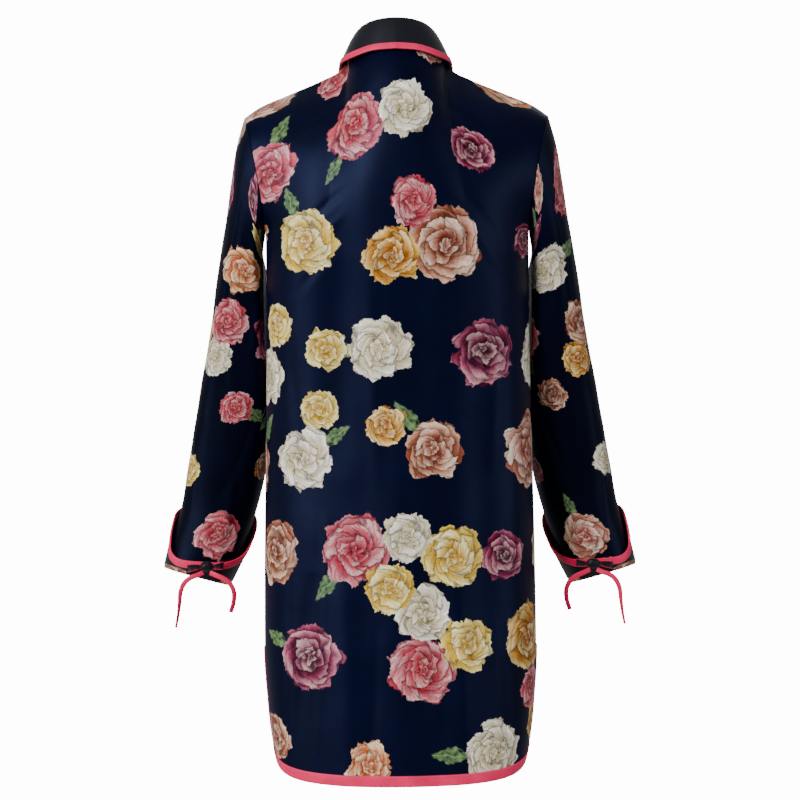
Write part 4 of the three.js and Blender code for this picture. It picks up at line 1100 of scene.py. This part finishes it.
def loft(name, rings, closed_path, merge=False):
    """Rings of points joined one to the next, each closed round, with caps or in a ring."""
    count, size = rings.shape[:2]
    k = np.arange(size)
    here = np.arange(count if closed_path else count - 1)[:, None] * size
    after = (here + size) % (count * size)
    corners = [here + k, after + k, after + (k + 1) % size, here + (k + 1) % size]
    faces = np.stack(np.broadcast_arrays(*corners), axis=-1).reshape(-1, 4)
    points = rings.reshape(-1, 3)
    inside_out = signed_volume(points - points.mean(axis=0), faces) < 0
    if inside_out:
        faces = faces[:, ::-1]
    polygons = faces.tolist()
    if not closed_path and not merge:
        caps = [k[::-1].tolist(), (k + (count - 1) * size).tolist()]
        polygons += [cap[::-1] for cap in caps] if inside_out else caps
    around = np.arange(len(points)) % size
    across = np.linalg.norm(np.diff(rings, axis=1), axis=-1).mean(axis=0)
    across = np.concatenate([[0], np.cumsum(across)])
    along = np.linalg.norm(np.diff(rings.mean(axis=1), axis=0), axis=-1)
    along = np.concatenate([[0], np.cumsum(along)])
    place = np.stack([across[around], along[np.arange(len(points)) // size]], axis=-1)
    piece = mesh_object(name, points, polygons, place)
    if merge:
        piece.data.validate()
        tidy = bmesh.new()
        tidy.from_mesh(piece.data)
        bmesh.ops.remove_doubles(tidy, verts=tidy.verts, dist=1e-6)
        tidy.to_mesh(piece.data)
        tidy.free()
    return piece


def tape(name, band, ring=False, ripple=0.0):
    """A tape folded over an edge: an outer skin that swells between its stitch line and its fold,
    round the edge and back inside. The ripple is a slanted wave where the sewing has drawn it up.
    Returns the piece and the line on which it is stitched."""
    points, normals = band["points"], band["normals"]
    q = np.linspace(0, 1, points.shape[1])[None, :, None]
    run = np.concatenate([[0], np.cumsum(np.linalg.norm(np.diff(points[:, -1], axis=0), axis=-1))])
    phase = run[:, None, None] / 2.1 + q * 5
    drawn = smooth(np.sin(run[:, None, None] / 47 + 1) * 0.5 + 0.6)
    wave = ripple * np.sin(phase) * drawn * np.sin(np.pi * q)
    swell = 0.85 + 0.35 * np.sin(np.pi * q**0.8) + wave
    away = unit(points[:, -1] - points[:, -2])[:, None]
    outer = points + normals * swell
    inner = points - normals * (1.45 + wave * 0.4)
    edge, facing = points[:, -1:], normals[:, -1:]
    turns = [(0.7, 0.55), (0.2, 0.95), (-0.45, 1.0), (-1.0, 0.75)]
    fold = np.concatenate([edge + facing * h + away * past for h, past in turns], axis=1)
    lining = [inner[:, :1] + normals[:, :1] * 0.75, points[:, 4:5] - normals[:, 4:5] * 0.7,
              edge - facing * 0.6 + away * 0.2, edge + facing * 0.15 + away * 0.2,
              points[:, 4:5] + normals[:, 4:5] * 0.2, points[:, :1] + normals[:, :1] * 0.15]
    rings = np.concatenate([outer, fold, inner[:, ::-1]] + lining, axis=1)
    seam = {"points": outer[:, 1], "normals": normals[:, 1]}
    return loft(name, rings, ring), seam, run[-1]


def stitches(name, line, pitch=3.2, length=2.3, radius=0.22):
    """A row of stitches: spindles of four sides laid along a line at an even pitch."""
    points, normals = line["points"], line["normals"]
    run = np.concatenate([[0], np.cumsum(np.linalg.norm(np.diff(points, axis=0), axis=-1))])
    middle = np.arange(pitch, run[-1] - pitch, pitch)
    at = middle[:, None] + np.array([-0.5, -0.3, 0.3, 0.5]) * length
    place = np.stack([np.interp(at, run, points[:, i]) for i in range(3)], axis=-1)
    facing = unit(np.stack([np.interp(at, run, normals[:, i]) for i in range(3)], axis=-1))
    along = unit(place[:, -1:] - place[:, :1])
    side = np.cross(along, facing)
    thick = radius * np.array([0.35, 1, 1, 0.35])[None, :, None]
    ways = [side, facing * 0.9, -side, -facing]
    verts = np.stack([place + way * thick + facing * radius * 0.6 for way in ways], axis=2)
    count = len(middle)
    k = np.arange(4)
    row = np.arange(3)[:, None] * 4
    quads = np.stack([row + k, row + (k + 1) % 4, row + 4 + (k + 1) % 4, row + 4 + k], axis=-1)
    one = np.concatenate([quads.reshape(-1, 4), [[3, 2, 1, 0]], [[12, 13, 14, 15]]])
    faces = (one[None] + np.arange(count)[:, None, None] * 16).reshape(-1, 4)
    points = verts.reshape(-1, 3)
    sample = points[:16] - points[:16].mean(axis=0)
    if signed_volume(sample, one) < 0:
        faces = faces[:, ::-1]
    return mesh_object(name, points, faces)


def curve_through(route, count, closed=False):
    """Points evenly spread on a smooth curve through a route, by its length."""
    route = np.array(route, float)
    if closed:
        route = np.concatenate([route[-2:], route, route[:2]])
    knots = np.concatenate([[0], np.cumsum(np.linalg.norm(np.diff(route, axis=0), axis=-1))])
    first, last = (knots[2], knots[-2]) if closed else (knots[0], knots[-1])
    return through(knots, route, np.linspace(first, last, count, endpoint=not closed)[:, None])


def ribbon(name, path, across, wide, thick, closed, cup=0.0):
    """A flat ribbon along a path: an upper and a lower face, a little cupped, with the attribute
    side 1 on the upper one."""
    along = np.gradient(path, axis=0)
    if closed:
        along = np.roll(path, -1, axis=0) - np.roll(path, 1, axis=0)
    across = unit(across - unit(along) * (across * unit(along)).sum(axis=-1, keepdims=True))
    up = unit(np.cross(across, unit(along)))
    a = np.linspace(-0.5, 0.5, 9)
    edge = thick / 2 * (1 - np.abs(2 * a) ** 6)
    hollow = cup * (1 - (2 * a) ** 2)
    section = np.concatenate([np.stack([a, hollow + edge], axis=-1),
                              np.stack([a, hollow - edge], axis=-1)[::-1][1:-1]])
    wide = np.broadcast_to(wide, path.shape[:1])[:, None, None]
    rings = (path[:, None] + across[:, None] * section[None, :, :1] * wide
             + up[:, None] * section[None, :, 1:])
    piece = loft(name, rings, closed)
    side = np.tile(np.arange(len(section)) < 9, len(path)).astype(float)
    attribute(piece, "side", side, "FLOAT")
    return piece


def knot_piece(name, flip):
    """A soft knot: an ellipsoid pinched into folds that fan out from its middle."""
    turn, rise = grid_of(np.linspace(0, 2 * np.pi, 49)[:-1], np.linspace(0, np.pi, 29))
    fold = 1 + 0.05 * np.sin(3 * turn + 4 * np.cos(rise)) * np.sin(rise) ** 2
    waist = 1 - 0.1 * np.exp(-((np.cos(rise) / 0.35) ** 2)) * np.cos(turn) ** 2
    shape = stack(np.cos(rise), np.sin(rise) * np.cos(turn), np.sin(rise) * np.sin(turn))
    points = shape * np.array(KNOT["half"]) * (fold * waist)[..., None] + KNOT["at"]
    rings = np.swapaxes(points * [flip, 1, 1], 0, 1)
    piece = loft(name, rings, False, merge=True)
    attribute(piece, "side", np.full(len(piece.data.vertices), 0.0), "FLOAT")
    return piece


def loop_piece(name, row, flip):
    """One loop of the bow: out from the knot in front, round its end and back behind."""
    x, y, z = KNOT["at"]
    side = np.sign(LOOPS["reach"][row])
    root = x + side * (KNOT["half"][0] + 0.6)
    end = x + LOOPS["reach"][row]
    middle = (root + end) / 2
    lean = LOOPS["lean"][row]
    layer = 2.5
    route = [(root, y + 0.9, z), (middle, y + layer, z + lean / 2), (end - side * 3, y + 2.1, z + lean),
             (end, y, z + lean * 1.4), (end - side * 3, y - 2.1, z + lean),
             (middle, y - layer, z + lean / 2), (root, y - 0.9, z)]
    path = curve_through(route, 72, True)
    t = np.linspace(0, 1, 72, endpoint=False)
    wide = LOOPS["wide"][row] * (0.5 + 0.5 * np.abs(np.sin(np.pi * t)) ** 0.8)
    across = np.broadcast_to(np.array([0.0, 0.0, 1.0]), path.shape) * -side
    return ribbon(name, path * [flip, 1, 1], across * [1, 1, flip], wide, LOOP_THICK, True, 0.5)


def tail_piece(name, way, flip):
    """One free end of the bow, cut straight. Its pink face looks to the back, and it turns about
    its own length as it hangs."""
    path = curve_through(TAILS[way], 60) * [flip, 1, 1]
    along = unit(np.gradient(path, axis=0))
    flat = unit(np.cross(along, [0, 1.0, 0]))
    upright = np.cross(flat, along)
    share = smooth(np.linspace(0, 1, 60))[:, None]
    twist = flip * (TAIL_TURN[way] * share - 0.2 * (1 - share))
    across = flat * np.cos(twist) + upright * np.sin(twist)
    return ribbon(name, path, across, TAIL_WIDE, TAIL_THICK, False, 0.35), path


def button_piece(name, place, facing):
    """A four-hole button: its upper face is a dish inside a raised rim, less four round dents."""
    turn, rise = grid_of(np.linspace(0, 2 * np.pi, 65)[:-1], np.linspace(0, 1, 41))
    radius = BUTTON_RADIUS * np.where(rise < 0.2, rise / 0.2, np.where(rise > 0.35, (1 - rise) / 0.65, 1))
    upper = smooth((rise - 0.2) / 0.15)
    share = radius / BUTTON_RADIUS
    top = BUTTON_THICK * (0.66 + 0.34 * np.exp(-(((share - 0.82) / 0.14) ** 2)))
    x, y = radius * np.cos(turn), radius * np.sin(turn)
    hole = np.hypot(np.abs(x) - 1.25, np.abs(y) - 1.25)
    top = top - 1.0 * (1 - smooth((hole - 0.35) / 0.4))
    height = np.where(rise <= 0.2, 0.0, upper * top)
    radius_in = np.where(share > 0.93, 1 - 0.06 * np.abs(2 * upper - 1), 1)
    local = stack(x * radius_in, y * radius_in, height)
    side = unit(np.cross([0.0, 0.0, 1.0], facing))
    frame_of = np.stack([side, np.cross(facing, side), facing])
    rings = np.swapaxes(local @ frame_of + place, 0, 1)
    return loft(name, rings, False, merge=True)


def button_thread(name, place, facing):
    """Two strands of thread across a button's holes."""
    side = unit(np.cross([0.0, 0.0, 1.0], facing))
    upward = np.cross(facing, side)
    strands = []
    for shift in (-1.25, 1.25):
        t = np.linspace(-1, 1, 9)[:, None]
        path = place + side * t * 1.35 + upward * shift + facing * (1.5 - 0.75 * t**4)
        around = np.linspace(0, 2 * np.pi, 9)[:-1][None, :, None]
        strands.append(path[:, None] + 0.35 * (upward * np.cos(around) + facing * np.sin(around)))
    rings = np.stack(strands)
    pieces = [loft(f"{name}_{k}", strand, False) for k, strand in enumerate(rings)]
    return join(pieces, name)


def join(pieces, name):
    """Several mesh objects as one."""
    whole = bmesh.new()
    for piece in pieces:
        whole.from_mesh(piece.data)
    mesh = pieces[0].data
    whole.to_mesh(mesh)
    whole.free()
    for piece in pieces[1:]:
        bpy.data.objects.remove(piece)
    pieces[0].name = name
    return pieces[0]


def placed(piece, material, slot, *nodes):
    """Gives a piece its material and sets it on the shirt in place of its CAD nodes. The slot is not
    used.
    """
    piece.data.materials.append(material)
    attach(piece, "root")
    if nodes:
        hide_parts(*nodes)
    return piece


def bind(name, band, node, ring=False, ripple=0.0):
    """A bound edge: the pink tape over a band, and the row of stitches that holds it."""
    use = colours()
    bound, seam, run = tape(name, band, ring, ripple)
    placed(bound, use["pink"], "pink_binding", node)
    pitch = bpy.context.scene.shirt_sizes.pitch * 1000
    row = stitches(name.replace("tape", "thread"), seam, pitch)
    placed(row, use["thread"], "pink_binding")


def material_of(name, make):
    """A material by its name, made on first use."""
    return bpy.data.materials.get(name) or make(name)


def colours():
    """The materials in use, from the panel's colours."""
    given = bpy.context.scene.shirt_colours
    return {
        "print": material_of("silk_twill_print", silk_print),
        "plain": material_of("silk_satin_plain", lambda name: plain_silk(name, given.plain, 0.4, 0.12)),
        "pink": material_of("silk_binding_pink", lambda name: plain_silk(name, given.binding, 0.5, 0.2)),
        "cuff": material_of("silk_satin_cuff", lambda name: cuff_silk(name, given.plain)),
        "ribbon": material_of("silk_ribbon_two_faced", two_faced_silk),
        "shell": material_of("dark_shell_button", shell_button),
        "thread": material_of("sewing_thread_pink", thread),
    }


def back_point(share, level):
    """The back panel at a share and a level."""
    return panel_surface(1, share, level, 1, BACK_FOLDS, BACK_CREASES)


def front_point(side):
    """One front as a function of share and level."""

    def plain(share, level):
        return panel_surface(-1, share, level, side, FRONT_FOLDS, FRONT_CREASES)

    def inset(share, level):
        surface = surface_at(plain, share, level, side)
        step = UNDER_STEP + HEM_STEP * (1 - smooth(level / 2.5))
        near = 1 - smooth((np.abs(surface["points"][..., 0]) - CENTRE_OVERLAP - 3) / 22)
        return surface["points"] - surface["normals"] * (step * near)[..., None]

    return inset if side > 0 else plain


class ShirtSizes(bpy.types.PropertyGroup):
    """Sizes that a user may change."""

    cloth: bpy.props.FloatProperty(
        name="Cloth", description="Thickness of the silk", default=0.0005, unit="LENGTH"
    )
    doubled: bpy.props.FloatProperty(
        name="Doubled cloth", description="Thickness of collar and cuffs", default=0.0009, unit="LENGTH"
    )
    bloom: bpy.props.FloatProperty(
        name="Bloom", description="Radius of the print's largest flowers", default=0.054, unit="LENGTH"
    )
    repeat: bpy.props.FloatProperty(
        name="Repeat", description="Distance between the print's clusters", default=0.15, unit="LENGTH"
    )
    pitch: bpy.props.FloatProperty(
        name="Stitch", description="From one stitch to the next", default=0.0032, unit="LENGTH"
    )


class ShirtColours(bpy.types.PropertyGroup):
    """Colours that a user may change, as sRGB hex."""

    plain: bpy.props.StringProperty(
        name="Collar and cuffs", description="Plain silk of collar and cuffs", default="#0b0c16"
    )
    binding: bpy.props.StringProperty(
        name="Binding", description="Silk of the bound edges", default="#d81550"
    )


def printed(piece, places, field, seed, share=1.0, period=None):
    """Scatters the print over a piece's flat field and writes it there."""
    sizes = bpy.context.scene.shirt_sizes
    spacing = sizes.repeat * 1000 * share
    blooms, leaves = scatter(*field, spacing, sizes.bloom * 1000 * share, seed, period)
    print_cloth(piece, places, blooms, leaves, period)


class SHIRT_OT_back(bpy.types.Operator):
    """Makes the printed back panel with its bound hem and vents"""

    bl_idname = "shirt.back"
    bl_label = "Back"

    def execute(self, context):
        use = colours()
        surface = back_surface()
        piece, places = shell("back_panel", surface, context.scene.shirt_sizes.cloth * 1000)
        printed(piece, places, BACK_FIELD, 33)
        placed(piece, use["print"], "printed_silk", "back")
        stations = vent_stations(np.linspace(-1, 1, 201), True, True)
        band = hem_band(back_point, stations, -1)
        bind("hem_tape_back", band, "hem_binding_back", ripple=0.3)
        return {"FINISHED"}


class SHIRT_OT_fronts(bpy.types.Operator):
    """Makes the two printed fronts, the right one over the left one, with their bound hems"""

    bl_idname = "shirt.fronts"
    bl_label = "Fronts"

    def execute(self, context):
        use = colours()
        for name, side in (("left", 1), ("right", -1)):
            surface = front_surface(side)
            piece, places = shell(f"front_panel_{name}", surface, context.scene.shirt_sizes.cloth * 1000)
            printed(piece, places, FRONT_FIELD, 8 + side)
            placed(piece, use["print"], "printed_silk", f"front_{name}")
            past = share_at(-1, np.zeros(1), CENTRE_OVERLAP)[0]
            stations = vent_stations(np.linspace(-past, 1, 111), False, True)
            band = hem_band(front_point(side), stations, side)
            node = f"hem_binding_front_{name}"
            bind(f"hem_tape_front_{name}", band, node, ripple=0.25)
        return {"FINISHED"}


class SHIRT_OT_sleeves(bpy.types.Operator):
    """Makes the two printed sleeves"""

    bl_idname = "shirt.sleeves"
    bl_label = "Sleeves"

    def execute(self, context):
        use = colours()
        left = sleeve_surface()
        for name, surface, seed in (("left", left, 3), ("right", mirrored(left), 11)):
            thick = context.scene.shirt_sizes.cloth * 1000
            piece, places = shell(f"sleeve_{name}_cloth", surface, thick, True)
            around = arc_lengths(np.concatenate([left["points"], left["points"][:1]]), 0)[-1].mean()
            field = ((0, 0), (around, SLEEVE_LONG))
            printed(piece, places, field, seed, SLEEVE_PRINT, around)
            placed(piece, use["print"], "printed_silk", f"sleeve_{name}")
        return {"FINISHED"}


class SHIRT_OT_cuffs(bpy.types.Operator):
    """Makes the two turned-back cuffs with their bound edges"""

    bl_idname = "shirt.cuffs"
    bl_label = "Cuffs"

    def execute(self, context):
        use = colours()
        left = cuff_surface()
        for name, surface in (("left", left), ("right", mirrored(left))):
            thick = context.scene.shirt_sizes.doubled * 1000
            piece, places = shell(f"cuff_{name}_cloth", surface, thick, True)
            printed(piece, places, CUFF_FIELD, 4, CUFF_PRINT, CUFF_ROUND)
            rise = surface["points"][..., 2] - surface["points"][:, :1, 2]
            turned = np.clip(1 - rise / CUFF_TURN, 0, 1).ravel()
            attribute(piece, "turned", np.concatenate([turned, turned]), "FLOAT")
            placed(piece, use["cuff"], "plain_silk", f"cuff_{name}")
            band = edge_band(surface, surface["tape"])
            bind(f"cuff_tape_{name}", band, f"cuff_binding_{name}", True, 0.15)
        return {"FINISHED"}


class SHIRT_OT_bows(bpy.types.Operator):
    """Makes the bow at each cuff: knot, two loops and two free tails"""

    bl_idname = "shirt.bows"
    bl_label = "Bows"

    def execute(self, context):
        use = colours()
        for hand, flip in (("left", 1), ("right", -1)):
            knot = knot_piece(f"bow_knot_{hand}", flip)
            placed(knot, use["ribbon"], "plain_silk", f"tie_knot_{hand}")
            for row, way in enumerate(("outer", "inner")):
                loop = loop_piece(f"bow_loop_{way}_{hand}", row, flip)
                placed(loop, use["ribbon"], "plain_silk", f"tie_loop_{way}_{hand}")
                tail, path = tail_piece(f"bow_tail_{way}_{hand}", way, flip)
                placed(tail, use["ribbon"], "pink_binding", f"tie_tail_{way}_{hand}")
        return {"FINISHED"}


class SHIRT_OT_collar(bpy.types.Operator):
    """Makes the collar: its stand, its fall and the fall's bound edge"""

    bl_idname = "shirt.collar"
    bl_label = "Collar"

    def execute(self, context):
        use = colours()
        thick = context.scene.shirt_sizes.doubled * 1000
        fall = fall_surface()
        for node, surface in (("collar_stand", stand_surface()), ("collar_fall", fall)):
            piece, _ = shell(f"{node}_cloth", surface, thick)
            placed(piece, use["plain"], "plain_silk", node)
        band = edge_band(fall, fall["tape"])
        bind("collar_tape", band, "collar_binding", ripple=0.1)
        return {"FINISHED"}


class SHIRT_OT_buttons(bpy.types.Operator):
    """Makes the buttons down the front and on the collar stand, sewn on with thread"""

    bl_idname = "shirt.buttons"
    bl_label = "Buttons"

    def execute(self, context):
        use = colours()
        names = ["button_collar"] + [f"button_{k + 1}" for k in range(8)]
        for name in names:
            low, high = (np.array(corner) * 1000 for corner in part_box(name))
            middle = (low + high) / 2
            depth = np.sqrt(max(0.0, (high - low)[1] ** 2 - BUTTON_THICK**2)) / (2 * BUTTON_RADIUS)
            tilt = -depth if name in ("button_collar", "button_1") else 0.0
            facing = unit(np.array([0.0, -1.0, -tilt]))
            place = middle - facing * BUTTON_THICK / 2
            placed(button_piece(f"{name}_shell", place, facing), use["shell"], "button_shell", name)
            placed(button_thread(f"{name}_thread", place, facing), use["thread"], "pink_binding")
        return {"FINISHED"}


CAMERA_AWAY = 6.0  # metres from the shirt's middle
PHOTO_WIDE = 1.024  # metres across the photograph at the shirt's middle
CAMERA_UP = -0.4224
CAMERA_ASIDE = -0.0019
CAMERA_ROLL = -0.0084
FLOOR_UP = -1060  # millimetres; the floor lies below the photograph's view
FLOOR_REACH = 560
# Each lamp's name, place and aim in metres, size in metres and power in watts
LAMPS = (
    ("key", (2.3, 3.6, 1.5), (0, 0, -0.4), 1.5, 230),
    ("side_left", (3.0, 1.6, 0.2), (0, 0, -0.45), 1.6, 46),
    ("side_right", (-3.0, 1.8, 0.2), (0, 0, -0.45), 1.6, 40),
    ("front_fill", (0, -4.5, 1.4), (0, 0, -0.4), 3.0, 60),
)
AMBIENT = 0.3  # strength of the white surroundings on the shirt
BACKDROP = 14.0  # and to the eye, where they are the white behind it


class SHIRT_OT_stage(bpy.types.Operator):
    """Makes the floor, the soft studio light and the camera"""

    bl_idname = "shirt.stage"
    bl_label = "Stage"

    def execute(self, context):
        scene = context.scene
        turn, reach = grid_of(np.linspace(0, 2 * np.pi, 97)[:-1], np.array([1.0, FLOOR_REACH]))
        disc = stack(reach * np.cos(turn), reach * np.sin(turn), FLOOR_UP)
        floor = mesh_object("floor", disc.reshape(-1, 3), grid_faces(96, 2, True))
        finish = {"Base Color": linear("#eaeaea"), "Roughness": 0.8}
        floor.data.materials.append(new_material("pale_floor", finish)[0])
        for name, place, aim, size, watts in LAMPS:
            data = bpy.data.lights.new(name, "AREA")
            data.size = size
            data.energy = watts
            lamp = bpy.data.objects.new(name, data)
            lamp.location = place
            away = np.array(place) - np.array(aim)
            lamp.rotation_euler = (np.arctan2(np.hypot(away[0], away[1]), away[2]), 0,
                                   np.arctan2(away[1], away[0]) + np.pi / 2)
            scene.collection.objects.link(lamp)
        world = bpy.data.worlds.new("studio")
        world.use_nodes = True
        tree = world.node_tree
        tree.nodes.clear()
        seen = add(tree, "LightPath").outputs["Is Camera Ray"]
        strength = add(tree, "MapRange", {0: seen, 3: AMBIENT, 4: BACKDROP})
        light = add(tree, "Background", {0: (1, 1, 1, 1), 1: strength})
        output = tree.nodes.new("ShaderNodeOutputWorld")
        tree.links.new(light.outputs[0], output.inputs[0])
        scene.world = world
        camera = bpy.data.objects.new("camera", bpy.data.cameras.new("camera"))
        camera.data.lens = camera.data.sensor_width * CAMERA_AWAY / PHOTO_WIDE
        camera.data.clip_end = 50
        place = Matrix.Translation((CAMERA_ASIDE, CAMERA_AWAY, CAMERA_UP))
        look = Matrix.Rotation(np.pi, 4, "Z") @ Matrix.Rotation(np.pi / 2, 4, "X")
        camera.matrix_world = place @ look @ Matrix.Rotation(CAMERA_ROLL, 4, "Z")
        scene.collection.objects.link(camera)
        scene.camera = camera
        return {"FINISHED"}


OPERATORS = (SHIRT_OT_stage, SHIRT_OT_back, SHIRT_OT_fronts, SHIRT_OT_sleeves, SHIRT_OT_cuffs,
             SHIRT_OT_bows, SHIRT_OT_collar, SHIRT_OT_buttons)


class SHIRT_PT_panel(bpy.types.Panel):
    """Lists the shirt's sizes, colours and pieces"""

    bl_idname = "SHIRT_PT_panel"
    bl_label = "Silk shirt"
    bl_space_type = "VIEW_3D"
    bl_region_type = "UI"
    bl_category = "Shirt"

    def draw(self, context):
        column = self.layout.column()
        for group in (context.scene.shirt_sizes, context.scene.shirt_colours):
            for name in group.__annotations__:
                column.prop(group, name)
        for operator in OPERATORS:
            column.operator(operator.bl_idname)


CLASSES = (ShirtSizes, ShirtColours) + OPERATORS + (SHIRT_PT_panel,)


def register():
    """Adds the classes and the scene's two groups of properties."""
    for item in CLASSES:
        bpy.utils.register_class(item)
    bpy.types.Scene.shirt_sizes = bpy.props.PointerProperty(type=ShirtSizes)
    bpy.types.Scene.shirt_colours = bpy.props.PointerProperty(type=ShirtColours)


def unregister():
    """Takes them away again."""
    del bpy.types.Scene.shirt_sizes
    del bpy.types.Scene.shirt_colours
    for item in reversed(CLASSES):
        bpy.utils.unregister_class(item)


def main():
    """Builds the shirt and its stage."""
    register()
    for operator in OPERATORS:
        group, name = operator.bl_idname.split(".")
        getattr(getattr(bpy.ops, group), name)()


if __name__ == "__main__":
    main()
